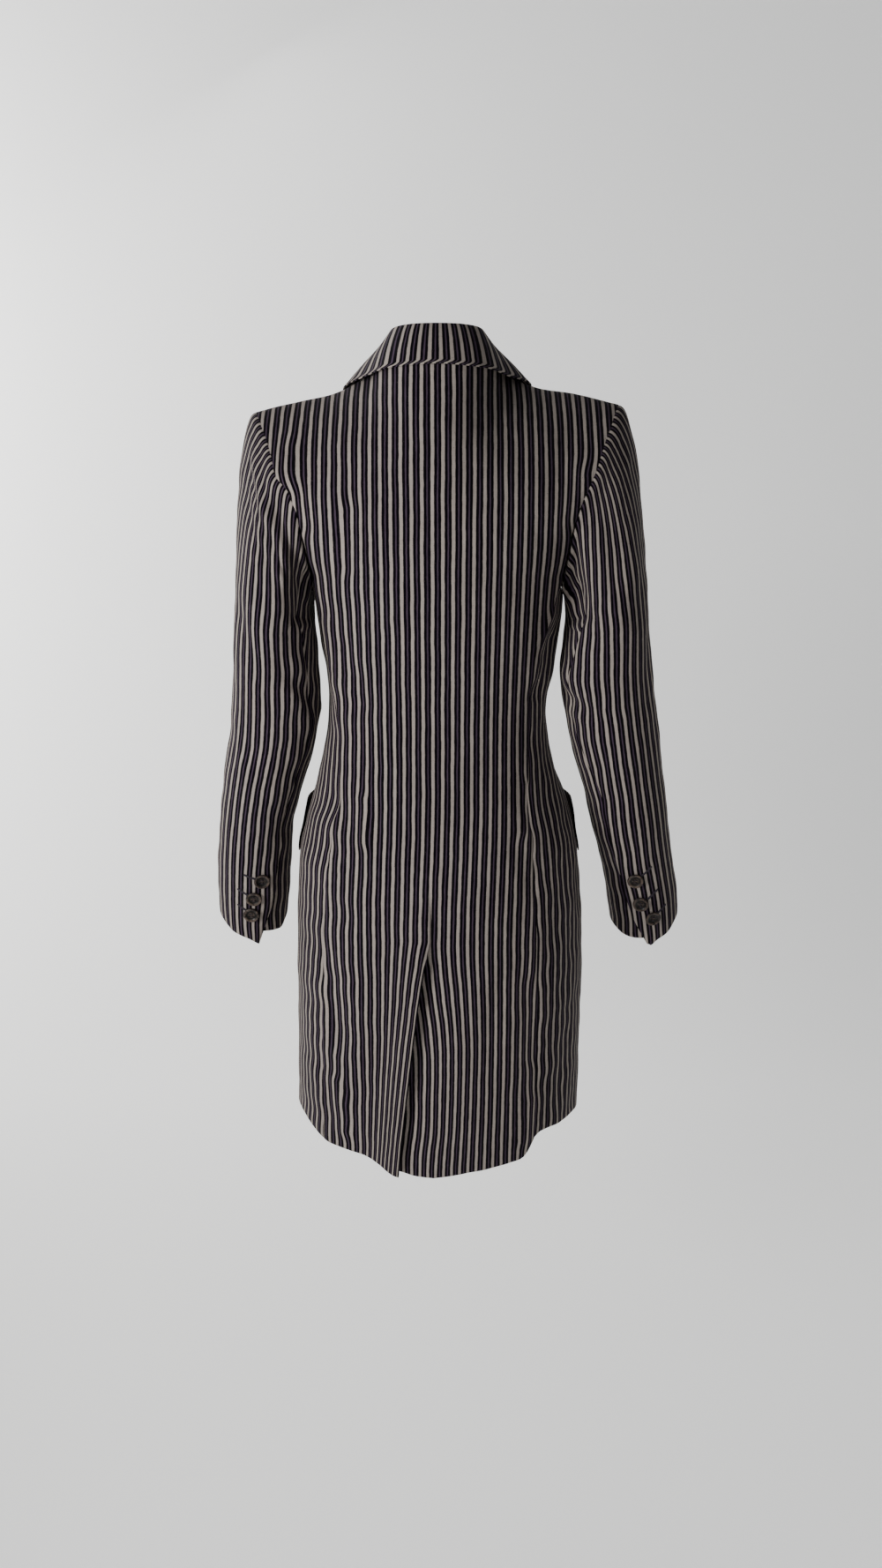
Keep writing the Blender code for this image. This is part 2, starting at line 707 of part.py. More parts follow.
def ring(side, down, angle):
    """A ring of the sleeve below its cap, square to the arm. down runs from 0 at the first ring to 1 at the
    cuff."""
    table = sleeve_table(side)
    keys = (table[:, 0] - table[0, 0]) / (table[-1, 0] - table[0, 0])
    outer = through(keys, table[:, 1], down)
    inner = through(keys, table[:, 2], down)
    middle = through(keys, table[:, 3], down)
    depth = through(keys, table[:, 4], down)
    level = through(keys, table[:, 0], down)
    centre = np.stack([side * (outer + inner) / 2, middle, level], axis=-1)
    ahead, behind = down + RING_STEP, down - RING_STEP

    def gain(column):
        return through(keys, table[:, column], ahead) - through(keys, table[:, column], behind)

    lean = ease(down / 0.3)
    axis = unit(np.stack([side * (gain(1) + gain(2)) / 2 * lean, gain(3) * lean, gain(0)], axis=-1))
    wide = np.zeros_like(axis)
    wide[..., 0] = side
    wide = unit(wide - axis * (wide * axis).sum(-1, keepdims=True))
    deep = unit(np.cross(wide, axis)) * side
    deep = deep * np.sign(deep[..., 1:2])
    return (
        centre
        + wide * ((outer - inner) / 2 * np.cos(angle))[..., None]
        + deep * (depth * np.sin(angle))[..., None]
    )


def spread(count, first=0.0, last=1.0):
    return np.linspace(first, last, count)


ROWS_TOP = 10
SIDE_COLUMNS = 7
LOOPS = {side: armhole_loop(side) for side in (1, -1)}


def armhole_angles(side):
    """The angles round the sleeve of the panels' own points on the armhole, so both edges share them."""
    share, points, _, _ = LOOPS[side]
    heights = spread(ROWS_TOP, UNDER_AT, 1)
    own = np.concatenate(
        [
            back(side)(0 * heights + 1, heights)[::-1],
            side_panel(side)(spread(SIDE_COLUMNS), np.ones(SIDE_COLUMNS))[1:-1],
            front(side)(0 * heights + 1, heights),
        ]
    )
    nearest = np.linalg.norm(points[None] - own[:, None], axis=-1).argmin(axis=1)
    return 360 * share[nearest]


ARMHOLE_ANGLES = {side: armhole_angles(side) for side in (1, -1)}
ELBOW_POINT = 8
INNER_POINT = 16
SEAM_STARTS = {side: ARMHOLE_ANGLES[side][[ELBOW_POINT, INNER_POINT]] for side in (1, -1)}


def sleeve_columns(side, under):
    """Places across a sleeve piece that meet the body panels' own points on the armhole."""
    angles = ARMHOLE_ANGLES[side]
    if under:
        chosen = angles[ELBOW_POINT : INNER_POINT + 1]
    else:
        chosen = np.concatenate([angles[INNER_POINT:-1] - 360, angles[: ELBOW_POINT + 1]])
    return (chosen - chosen[0]) / (chosen[-1] - chosen[0])


def sleeve_flat(side, angle_degrees, down):
    """The cap springs out of the armhole and turns down to the first ring. The rest follows the rings."""
    share, points, normals, leaving = LOOPS[side]
    turn = np.mod(angle_degrees / 360.0, 1.0)
    edge = between(share, points, turn)
    out = unit(between(share, normals, turn))
    leave = unit(between(share, leaving, turn))
    angle = np.radians(angle_degrees)
    first = ring(side, 0 * down, angle)
    onward = unit(ring(side, 0 * down + RING_STEP, angle) - first)
    away = 0.5 - 0.5 * np.cos(angle)
    hang = np.stack([side * 0.10 + 0 * away, 0 * away, -1 + 0 * away], axis=-1)
    drop = (ease(away) * 0.9)[..., None]
    low = ease((away - 0.40) / 0.35)[..., None]
    start_way = unit(leave * (1 - drop) + out * 0.25 * low + hang * drop)
    ease_off = GAP * (1 - low) + TURN_CLEARANCE * 4 * drop * (1 - drop)
    edge = edge + leave * ease_off + out * (WALL + GAP) * low
    span = np.linalg.norm(first - edge, axis=-1)[..., None]
    part = np.clip(down / CAP_AT, 0, 1)[..., None]
    cap = hermite(edge, start_way * span * CAP_SPRING, first, onward * span * CAP_DROP, part)
    lower = ring(side, np.clip((down - CAP_AT) / (1 - CAP_AT), 0, 1), angle)
    return np.where((down <= CAP_AT)[..., None], cap, lower)


def sleeve_span(side, under, across, down):
    """The angle round the sleeve of a point of the upper or under sleeve."""
    elbow_start, inner_start = SEAM_STARTS[side]
    settled = 1 - ease(down / CAP_AT)
    elbow_seam = ELBOW_SEAM_LEFT if side > 0 else ELBOW_SEAM_RIGHT
    elbow = through(ELBOW_SEAM_AT, elbow_seam, down) + (elbow_start - elbow_seam[0]) * settled
    inner = through(INNER_SEAM_AT, INNER_SEAM, down) + (inner_start - INNER_SEAM[0]) * settled
    open_share = ease((down - CUFF_VENT_AT) / CUFF_VENT_RUN)
    if under:
        start = elbow - CUFF_UNDERLAP_DEG * open_share
        return start + (inner - start) * across
    start = inner - 360
    end = elbow + CUFF_OVERLAP_DEG * open_share
    return start + (end - start) * across


def cuffed(side, under, angle_degrees, down):
    """The place down the sleeve, drawn up near the cuff so that the last row lies on the cuff's edge."""
    if under:
        edge = through(UNDER_CUFF_ANGLE, UNDER_CUFF_LEFT if side > 0 else UNDER_CUFF_RIGHT, angle_degrees)
    else:
        edge = through(UPPER_CUFF_ANGLE, UPPER_CUFF_LEFT if side > 0 else UPPER_CUFF_RIGHT, angle_degrees)
    return down * (1 + (edge - 1) * ease((down - CUFF_EDGE_FROM) / (1 - CUFF_EDGE_FROM)))


def sleeve_folded(side, angle_degrees, down, points):
    """Moves points of a sleeve in or out by its folds, which fade towards the armhole and the cuff."""
    rows = [
        (
            angle1 * SLEEVE_METRES_PER_DEGREE,
            down1 * SLEEVE_LENGTH,
            angle2 * SLEEVE_METRES_PER_DEGREE,
            down2 * SLEEVE_LENGTH,
            half_width,
            rise,
        )
        for fold_side, angle1, down1, angle2, down2, half_width, rise in SLEEVE_FOLDS
        if fold_side == side
    ]
    around = np.mod(angle_degrees, 360) * SLEEVE_METRES_PER_DEGREE
    shown = ease(down / 0.05) * (1 - ease((down - 0.85) / 0.10))
    height = fold_height(rows, around, down * SLEEVE_LENGTH) * shown
    angle = np.radians(angle_degrees)
    way = np.stack([side * np.cos(angle), np.sin(angle), 0 * angle], axis=-1)
    return points + way * height[..., None]


def sleeve(side, under):
    def flat(across, down):
        angle_degrees = sleeve_span(side, under, across, down)
        return sleeve_flat(side, angle_degrees, cuffed(side, under, angle_degrees, down))

    def surface(across, down):
        opened = ease((down - CUFF_VENT_AT + CUFF_LAP_ABOVE) / CUFF_LAP_FADE)
        if under:
            lift = -CUFF_LAP_LIFT * opened * (1 - ease(across / UNDER_LAP_RUN))
        else:
            lift = CUFF_LAP_LIFT * opened * ease((across - UPPER_LAP_FROM) / (1 - UPPER_LAP_FROM))
        points = lifted(flat, -side, across, down, lift)
        return sleeve_folded(side, sleeve_span(side, under, across, down), down, points)

    return surface


# Solids


def material(name, colour, roughness, metallic=0.0):
    made = bpy.data.materials.new(name)
    made.use_nodes = True
    shader = made.node_tree.nodes["Principled BSDF"]
    shader.inputs["Base Color"].default_value = (*colour, 1.0)
    shader.inputs["Roughness"].default_value = roughness
    shader.inputs["Metallic"].default_value = metallic
    made.diffuse_color = (*colour, 1.0)
    return made


def add_object(name, points, faces, look, smooth=True):
    mesh = bpy.data.meshes.new(name)
    mesh.from_pydata([tuple(point) for point in points], [], faces)
    mesh.update()
    mesh.materials.append(look)
    mesh.polygons.foreach_set("use_smooth", [smooth] * len(mesh.polygons))
    made = bpy.data.objects.new(name, mesh)
    bpy.context.scene.collection.objects.link(made)
    return made


def wall_solid(name, points, normals, look, thickness=WALL, flip=False):
    """A closed wall about a grid of middle points."""
    rows, columns = points.shape[:2]
    outer = (points + normals * thickness / 2).reshape(-1, 3)
    inner = (points - normals * thickness / 2).reshape(-1, 3)
    count = rows * columns
    index = np.arange(count).reshape(rows, columns)
    faces = []
    # Both walls take the same diagonal, the shorter one, so that they stay apart where the cloth twists.
    falling = np.linalg.norm(points[1:, 1:] - points[:-1, :-1], axis=-1)
    rising = np.linalg.norm(points[1:, :-1] - points[:-1, 1:], axis=-1)
    for row in range(rows - 1):
        for column in range(columns - 1):
            near, beside = index[row, column], index[row, column + 1]
            across, above = index[row + 1, column + 1], index[row + 1, column]
            if falling[row, column] <= rising[row, column]:
                halves = ((near, beside, across), (near, across, above))
            else:
                halves = ((near, beside, above), (beside, across, above))
            for half in halves:
                faces.append(half)
                faces.append(tuple(corner + count for corner in reversed(half)))
    rim = [
        *index[0, :],
        *index[1:, -1],
        *index[-1, -2::-1],
        *index[-2:0:-1, 0],
    ]
    for here, there in zip(rim, rim[1:] + rim[:1]):
        faces.append((there, here, here + count, there + count))
    if flip:
        faces = [tuple(reversed(face)) for face in faces]
    faces = [tuple(int(corner) for corner in face) for face in faces]
    return add_object(name, np.concatenate([outer, inner]), faces, look)


def inset(points, edges):
    """Draws named edges of a grid back by half the seam gap."""
    drawn = points.copy()
    half = GAP / 2
    if "first" in edges:
        drawn[:, 0] += half * unit(points[:, 1] - points[:, 0])
    if "last" in edges:
        drawn[:, -1] += half * unit(points[:, -2] - points[:, -1])
    if "top" in edges:
        drawn[-1] += half * unit(points[-2] - points[-1])
    if "bottom" in edges:
        drawn[0] += half * unit(points[1] - points[0])
    return drawn


def panel_solid(
    name, surface, turn, across, height, edges, look, top_normals=None, straight_centre=False, step=1e-4
):
    """A wall of cloth over part of a surface. turn tells which way the surface faces. Two pieces that meet
    share their outward direction along the seam: the shoulder's is given, and the centre back's lies in the
    middle plane."""
    grid_across, grid_height = np.meshgrid(across, height)
    points = inset(surface(grid_across, grid_height), edges)
    normals = outward(surface, turn, grid_across, grid_height, step)
    if top_normals is not None:
        shared = ~np.isnan(top_normals[:, 0])
        normals[-1, shared] = top_normals[shared]
    if straight_centre:
        above = height > UNDER_AT
        run = np.gradient(points[:, 0], axis=0)
        normals[above, 0] = unit(np.stack([0 * run[:, 0], run[:, 2], -run[:, 1]], axis=-1))[above]
    return wall_solid(name, points, normals, look, flip=turn < 0)


def grid_normals(points):
    across = np.gradient(points, axis=1)
    down = np.gradient(points, axis=0)
    return unit(np.cross(across, down))


# The collar. One row per station from the centre back to the front end: share of the way, then the seam with
# the neck, the fold and the free edge of the fall, each as a point.
COLLAR_AT = np.array([0.0, 0.16, 0.28, 0.42, 0.55, 0.77, 1.0])
COLLAR_SEAM = np.array(
    [
        (0.0000, 0.0848, 0.0297),
        (0.0300, 0.0793, 0.0297),
        (0.0478, 0.0625, 0.0289),
        (0.0607, 0.0335, 0.0258),
        (0.0664, 0.0000, 0.0206),
        (0.0612, -0.0340, 0.0042),
        (0.0530, -0.0632, -0.0198),
    ]
)
COLLAR_FOLD = np.array(
    [
        (0.0000, 0.0750, 0.0560),
        (0.0260, 0.0690, 0.0556),
        (0.0410, 0.0520, 0.0545),
        (0.0480, 0.0270, 0.0510),
        (0.0515, 0.0000, 0.0450),
        (0.0585, -0.0350, 0.0230),
        (0.0530, -0.0640, -0.0130),
    ]
)
COLLAR_EDGE = np.array(
    [
        (0.0000, 0.0945, 0.0210),
        (0.0340, 0.0865, 0.0190),
        (0.0530, 0.0690, 0.0172),
        (0.0730, 0.0350, 0.0118),
        (0.0955, 0.0000, 0.0048),
        (0.1000, -0.0340, -0.0080),
        (0.0990, -0.0620, -0.0295),
    ]
)
FOLD_RADIUS = 0.0021
FALL_BULGE = 0.0020
COLLAR_PROFILE = np.array([0.0, 0.14, 0.28, 0.36, 0.42, 0.48, 0.56, 0.70, 0.85, 1.0])


def collar(around, profile):
    """around runs from -1 at the wearer's right front to 1 at the left. profile runs from the neck seam up
    the stand, over the fold and down the fall."""
    share = np.abs(around)
    sign = np.where(around < 0, -1.0, 1.0)
    keys = np.concatenate([-COLLAR_AT[:0:-1], COLLAR_AT])

    def both(table):
        other = placed(table[:0:-1], -1)
        return through(keys, np.concatenate([other, table]), around)

    seam, fold, edge = both(COLLAR_SEAM), both(COLLAR_FOLD), both(COLLAR_EDGE)
    away = edge - seam
    away[..., 2] = 0
    away = unit(away)
    up = np.array([0.0, 0.0, 1.0]) + 0 * away
    radius = FOLD_RADIUS * (1 - 0.25 * share)[..., None]
    fall_start = fold + away * radius
    stops = np.stack(
        [
            seam,
            seam + (fold - away * radius - seam) * 0.5,
            fold - away * radius,
            fold + up * radius,
            fall_start,
            (fall_start + edge) / 2 + away * FALL_BULGE * 0.7 + up * FALL_BULGE * 0.7,
            edge,
        ],
        axis=-2,
    )
    places = np.array([0.0, 0.18, 0.36, 0.42, 0.48, 0.74, 1.0])
    slopes = np.gradient(stops, places, axis=-2)
    low = np.clip(np.searchsorted(places, profile, side="right") - 1, 0, len(places) - 2)
    step = (places[low + 1] - places[low])[..., None]
    part = (profile - places[low])[..., None] / step

    def pick(table, index):
        return np.take_along_axis(table, index[..., None, None], axis=-2)[..., 0, :]

    leave = pick(slopes, low) * step
    arrive = pick(slopes, low + 1) * step
    return hermite(pick(stops, low), leave, pick(stops, low + 1), arrive, part)


# The lapels, on the fronts: height up the front, width of the lapel.
LAPEL_HEIGHT, LAPEL_WIDTH = np.array(
    [(0.645, 0.008), (0.68, 0.026), (0.72, 0.043), (0.78, 0.060), (0.84, 0.070), (0.895, 0.075)]
).T
LAPEL_TOP_INNER = 0.912
LAPEL_TOP_OUTER = 0.893
LEFT_LAPEL_FOOT = 0.682
ROLL_DISTANCE = np.array([-0.0014, -0.0026, -0.0014, 0.0020])
ROLL_LIFT = np.array([0.0001, 0.0014, 0.0028, 0.0032])
ROLL_FREE_HEIGHT = 0.712
LAPEL_START = 0.0040
LAPEL_LIFT = 0.0023
LAPEL_SPRING = 0.0012
LAPEL_CLEAR = 0.0060


def lapel(side, columns, rows):
    """The turned-back lapel as a grid: it starts past the roll line, folds over it and lies on its front."""
    surface = front(side)
    foot = LEFT_LAPEL_FOOT if side > 0 else LAPEL_HEIGHT[0]
    roll_count = len(ROLL_DISTANCE)
    column = np.arange(columns + roll_count - 1)
    on_roll = column < roll_count
    wide = np.where(on_roll, 0.0, (column - roll_count + 1) / (columns - 1))
    across, share = np.meshgrid(wide, np.linspace(0, 1, rows))
    height = foot + (LAPEL_TOP_INNER + (LAPEL_TOP_OUTER - LAPEL_TOP_INNER) * across - foot) * share
    width = through(LAPEL_HEIGHT, LAPEL_WIDTH, height)
    edge = surface(0 * height, height)
    # The left lapel comes out from under the right front, so low down it starts past that front's edge.
    past = np.maximum(0, -2 * edge[..., 0] + LAPEL_CLEAR) if side > 0 else 0 * height
    rolled = ease((height - ROLL_FREE_HEIGHT) / 0.02) if side > 0 else 0 * height + 1
    flat_lift = LAPEL_LIFT + LAPEL_SPRING * (1 - across)
    number = np.minimum(column, roll_count - 1)
    roll_distance = past + ROLL_DISTANCE[number] * rolled + (1 - rolled) * 0.0012 * number
    roll_lift = ROLL_LIFT[number] * rolled + flat_lift * (1 - rolled)
    distance = np.where(on_roll, roll_distance, past + LAPEL_START + (width - past - LAPEL_START) * across)
    lift = np.where(on_roll, roll_lift, flat_lift)
    row_length = np.linalg.norm(surface(0 * height + 1, height) - edge, axis=-1) * 1.03
    at = np.maximum(distance, 0) / row_length
    edge_way = unit(surface(0 * height + 0.02, height) - edge)
    out = outward(surface, side, at, height)
    return surface(at, height) + np.minimum(distance, 0)[..., None] * edge_way + lift[..., None] * out


# The pocket flaps, on the hips: rear and front end as angles from the back, top and bottom edge.
FLAP_REAR = 86.0
FLAP_FRONT = 131.0
FLAP_TOP = -0.455
FLAP_BOTTOM = -0.520
FLAP_LIFT = {1: 0.0026, -1: 0.0022}
FLAP_GAPE = {1: 0.0022, -1: 0.0032}
FLAP_GAPE_WIDTH = 0.35
FLAP_CORNER = 0.010
FLAP_CORNER_SHARE = 0.10


def flap(side):
    """The flap lies on its hip. At its rear end its top edge gapes a little."""

    def surface(across, height):
        angle = side * np.radians(FLAP_REAR + (FLAP_FRONT - FLAP_REAR) * across)
        rear_corner = np.clip(1 - across / FLAP_CORNER_SHARE, 0, 1) ** 2
        front_corner = np.clip(1 - (1 - across) / FLAP_CORNER_SHARE, 0, 1) ** 2
        bottom = FLAP_BOTTOM + FLAP_CORNER * (rear_corner + front_corner)
        return folded(body(angle, bottom + (FLAP_TOP - bottom) * height))

    def gaping(across, height):
        rear = np.exp(-((across / FLAP_GAPE_WIDTH) ** 2))
        lift = FLAP_LIFT[side] + FLAP_GAPE[side] * rear * height**2
        return lifted(surface, -side, across, height, lift)

    return gaping


# Buttons turned about their own axis: distance from the axis, height above the back face.
BUTTON_PROFILE = np.array(
    [(0.62, 0.00), (0.95, 0.22), (1.00, 0.55), (0.91, 0.95), (0.80, 1.00), (0.64, 0.62)]
)
CUFF_BUTTON_RADIUS = 0.0096
FRONT_BUTTON_RADIUS = 0.0110
BUTTON_THICKNESS = 0.0030
BUTTON_SIDES = 16


def button(name, seat, out, radius, look):
    """A button with a raised rim, standing clear of its seat."""
    out = unit(out)
    helper = np.array([0.0, 0.0, 1.0])
    first = unit(np.cross(helper, out))
    second = np.cross(out, first)
    turn = np.linspace(0, 2 * np.pi, BUTTON_SIDES, endpoint=False)
    rings = []
    for distance, height in BUTTON_PROFILE:
        ring_points = np.cos(turn)[:, None] * first + np.sin(turn)[:, None] * second
        rings.append(seat + ring_points * distance * radius + out * height * BUTTON_THICKNESS)
    count = len(rings)
    points = np.concatenate([*rings, [seat], [seat + out * BUTTON_PROFILE[-1, 1] * BUTTON_THICKNESS]])
    faces = []
    for ring_number in range(count - 1):
        for here in range(BUTTON_SIDES):
            there = (here + 1) % BUTTON_SIDES
            low = ring_number * BUTTON_SIDES
            high = low + BUTTON_SIDES
            faces.append((low + here, low + there, high + there, high + here))
    last = (count - 1) * BUTTON_SIDES
    for here in range(BUTTON_SIDES):
        there = (here + 1) % BUTTON_SIDES
        faces.append((there, here, count * BUTTON_SIDES))
        faces.append((last + here, last + there, count * BUTTON_SIDES + 1))
    return add_object(name, points, faces, look)


# Buttons on the cuffs: angle round the sleeve, place down the sleeve. On the front: level.
CUFF_BUTTONS = {
    1: ((109.0, 0.840), (98.0, 0.885), (95.0, 0.930)),
    -1: ((101.5, 0.835), (99.0, 0.895), (83.5, 0.935)),
}
FRONT_BUTTONS = ((-0.290, 0.0003), (-0.385, 0.0009), (-0.480, 0.0003))
SEAT_GAP = 0.0003


def seat_on(surface, turn, across, height, gap=SEAT_GAP):
    across = np.array(across)
    height = np.array(height)
    out = outward(surface, turn, across, height, 4e-3)
    return surface(across, height) + out * (WALL / 2 + gap), out


for old in list(bpy.data.objects):
    bpy.data.objects.remove(old)

STRIPED_LINEN = material("striped_linen", (0.11, 0.095, 0.10), 0.85)
HORN = material("dark_horn", (0.045, 0.035, 0.032), 0.35)

ROWS_LOW = 23
SLEEVE_STEP = 0.02
BACK_ACROSS = np.array([0, 0.10, 0.20, 0.30, NECK_AT, 0.50, 0.60, 0.68, 0.76, 0.84, 0.92, 1.0])


def panel_heights():
    return np.concatenate([spread(ROWS_LOW, 0, UNDER_AT)[:-1], spread(ROWS_TOP, UNDER_AT, 1)])


def build_side(side, word):
    ridge = ridge_up(side)
    back_across = BACK_ACROSS
    back_normals = np.full((len(back_across), 3), np.nan)
    on_shoulder = back_across > NECK_AT - 1e-6
    back_normals[on_shoulder] = ridge((back_across[on_shoulder] - NECK_AT) / (1 - NECK_AT))
    panel_solid(
        "back_" + word,
        back(side),
        -side,
        back_across,
        panel_heights(),
        ("first", "last", "top"),
        STRIPED_LINEN,
        back_normals,
        straight_centre=True,
    )
    front_across = spread(10)
    panel_solid(
        "front_" + word,
        front(side),
        side,
        front_across,
        panel_heights(),
        ("last", "top"),
        STRIPED_LINEN,
        ridge(front_across),
    )
    panel_solid(
        "side_" + word,
        side_panel(side),
        -side,
        spread(SIDE_COLUMNS),
        spread(ROWS_LOW),
        ("first", "last"),
        STRIPED_LINEN,
    )
    downs = np.concatenate([spread(8, 0, CAP_AT)[:-1], spread(16, CAP_AT, 1)])
    edges = ("first", "last")
    for name, under in (("upper_sleeve_", False), ("under_sleeve_", True)):
        panel_solid(
            name + word,
            sleeve(side, under),
            -side,
            sleeve_columns(side, under),
            downs,
            edges,
            STRIPED_LINEN,
            step=SLEEVE_STEP,
        )
    lapel_points = lapel(side, 6, 12)
    wall_solid(
        "lapel_" + word, lapel_points, side * grid_normals(lapel_points), STRIPED_LINEN, flip=side < 0
    )
    panel_solid("pocket_flap_" + word, flap(side), -side, spread(11), spread(5), (), STRIPED_LINEN)
    for number, (angle, down) in enumerate(CUFF_BUTTONS[side], 1):
        start = float(sleeve_span(side, False, np.array(0.0), np.array(down)))
        end = float(sleeve_span(side, False, np.array(1.0), np.array(down)))
        seat, out = seat_on(sleeve(side, False), -side, (angle - start) / (end - start), down)
        button(f"cuff_button_{word}_{number}", seat, out, CUFF_BUTTON_RADIUS, HORN)


build_side(1, "left")
build_side(-1, "right")

around, profile = np.meshgrid(spread(25, -1, 1), COLLAR_PROFILE)
collar_points = collar(around, profile)
wall_solid("collar", collar_points, grid_normals(collar_points), STRIPED_LINEN, flip=False)

for number, (level, gap) in enumerate(FRONT_BUTTONS, 1):
    height = UNDER_AT * (level + 0.868) / (UNDERARM + 0.868)
    start, end = front_edges(-1, np.array(level))
    across = float((-np.pi - start) / (end - start))
    seat, out = seat_on(front(-1), -1, across, height, gap)
    button(f"front_button_{number}", seat, out, FRONT_BUTTON_RADIUS, HORN)
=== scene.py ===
"""The looks of a long fitted linen jacket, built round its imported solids.

Every piece of cloth is a thin shell on the middle surface of its solid, worked out by the same functions on a
finer grid, with finer folds. Lengths are metres, Z is up, +X is the wearer's left and -Y the wearer's front.
"""

import math

import bpy
import numpy as np
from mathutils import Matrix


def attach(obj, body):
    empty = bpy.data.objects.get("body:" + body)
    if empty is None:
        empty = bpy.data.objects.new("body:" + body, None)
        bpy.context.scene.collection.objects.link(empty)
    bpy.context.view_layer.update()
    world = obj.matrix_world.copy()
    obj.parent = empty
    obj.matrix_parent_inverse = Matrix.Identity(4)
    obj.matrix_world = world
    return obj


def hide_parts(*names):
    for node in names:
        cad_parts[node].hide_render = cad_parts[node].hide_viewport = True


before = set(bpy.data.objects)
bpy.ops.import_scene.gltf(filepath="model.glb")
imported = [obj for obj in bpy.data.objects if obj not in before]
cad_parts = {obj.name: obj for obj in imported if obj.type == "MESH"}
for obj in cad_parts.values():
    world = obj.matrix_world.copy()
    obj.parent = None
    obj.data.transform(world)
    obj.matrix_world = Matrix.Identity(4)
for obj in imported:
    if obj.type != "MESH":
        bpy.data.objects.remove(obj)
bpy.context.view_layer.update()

# The wall of the solids, the gap that a sleeve keeps from the body, and how far one half of the jacket
# lifts to pass over the other.
WALL = 0.0018
GAP = 0.0003
LAP_LIFT = 0.0014

# The body, one row per level: half widths of the wearer's left and right, then the back and the front. Each
# level line is a superellipse of this roundness, 2 being an ellipse.
ROUNDNESS = 2.25
BODY_LEVEL, BODY_LEFT, BODY_RIGHT, BODY_BACK, BODY_FRONT = np.array(
    [
        (-0.900, 0.179, 0.178, 0.141, -0.140),
        (-0.780, 0.174, 0.176, 0.139, -0.137),
        (-0.620, 0.169, 0.174, 0.136, -0.131),
        (-0.540, 0.165, 0.168, 0.130, -0.127),
        (-0.500, 0.160, 0.163, 0.124, -0.124),
        (-0.460, 0.149, 0.153, 0.114, -0.121),
        (-0.420, 0.138, 0.138, 0.102, -0.118),
        (-0.380, 0.129, 0.128, 0.092, -0.116),
        (-0.345, 0.125, 0.125, 0.088, -0.117),
        (-0.300, 0.127, 0.132, 0.091, -0.124),
        (-0.250, 0.134, 0.138, 0.099, -0.131),
        (-0.190, 0.140, 0.141, 0.107, -0.129),
        (-0.120, 0.142, 0.142, 0.108, -0.110),
    ]
).T
UNDERARM = -0.190

# The centre back seam above the underarm, from there to the neck: level, back.
SPINE_LEVEL, SPINE_BACK = np.array(
    [(-0.25, 0.099), (-0.19, 0.107), (-0.12, 0.108), (-0.06, 0.103), (-0.01, 0.094), (0.0285, 0.085)]
).T
# Its sideways place, its top, and the number of points that it is drawn through above the underarm.
SPINE_X = 0.0085
SPINE_TOP = 0.0285
SPINE_ROWS = 12

# The two long back seams, measured from the centre back seam: level, distance on the left and on the right.
SIDE_SEAM_LEVEL, SIDE_SEAM_LEFT, SIDE_SEAM_RIGHT = np.array(
    [
        (-0.90, 0.1300, 0.1240),
        (-0.56, 0.1190, 0.1190),
        (-0.47, 0.1100, 0.1135),
        (-0.43, 0.1010, 0.1100),
        (-0.38, 0.1000, 0.1095),
        (-0.34, 0.1030, 0.1105),
        (-0.30, 0.1120, 0.1140),
        (-0.26, 0.1195, 0.1230),
        (-0.23, 0.1235, 0.1335),
        (-0.19, 0.1270, 0.1450),
    ]
).T

# The seams in front of the sides: level, place in front of the shoulder line.
FORE_SEAM_LEVEL, FORE_SEAM_Y = np.array(
    [(-0.90, -0.060), (-0.60, -0.055), (-0.42, -0.050), (-0.30, -0.052), (-0.19, -0.048)]
).T

# The hem round the body, wavy at the back: angle from the back, level on the left, level on the right.
HEM_ANGLE, HEM_LEFT, HEM_RIGHT = np.array(
    [
        (-20.0, -0.878, -0.877),
        (0.0, -0.878, -0.877),
        (14.0, -0.878, -0.872),
        (21.0, -0.874, -0.870),
        (28.0, -0.8625, -0.868),
        (34.0, -0.856, -0.866),
        (41.0, -0.8545, -0.860),
        (46.0, -0.854, -0.840),
        (52.0, -0.8545, -0.836),
        (60.0, -0.848, -0.838),
        (68.0, -0.841, -0.840),
        (76.0, -0.841, -0.845),
        (90.0, -0.855, -0.860),
        (180.0, -0.868, -0.868),
        (200.0, -0.868, -0.868),
    ]
).T
FRONT_HEM = -0.868

# About where the hem crosses the panels' edges: level at the back, level at the sides and in front, and the
# place of the seams in front of the sides.
BACK_HEM_ABOUT = -0.87
SIDE_HEM_ABOUT = -0.86
FORE_SEAM_ABOUT = -0.06

# The vent of the back: where it opens, and how far down, how far and with which power of the way its edge
# swings to the left. Then how far the right half passes under it, and over how much height it comes to that.
VENT_TOP = -0.578
VENT_LENGTH = 0.30
VENT_SWING = 0.037
VENT_SWING_POWER = 0.8
UNDERLAP = 0.012
UNDERLAP_RUN = 0.03

# The fronts: how far each passes the centre, where the lapel turns back, and how far short of the centre the
# roll line is at the underarm.
FRONT_PAST = 0.018
BREAK_LEVEL = -0.270
ROLL_AT_UNDERARM = 0.0056

# Neck and shoulders of the wearer's left. The right mirrors them.
NECK = np.array(
    [
        (0.0085, 0.085, 0.0285),
        (0.030, 0.080, 0.0285),
        (0.048, 0.063, 0.0275),
        (0.061, 0.035, 0.0245),
        (0.067, 0.000, 0.0190),
    ]
)
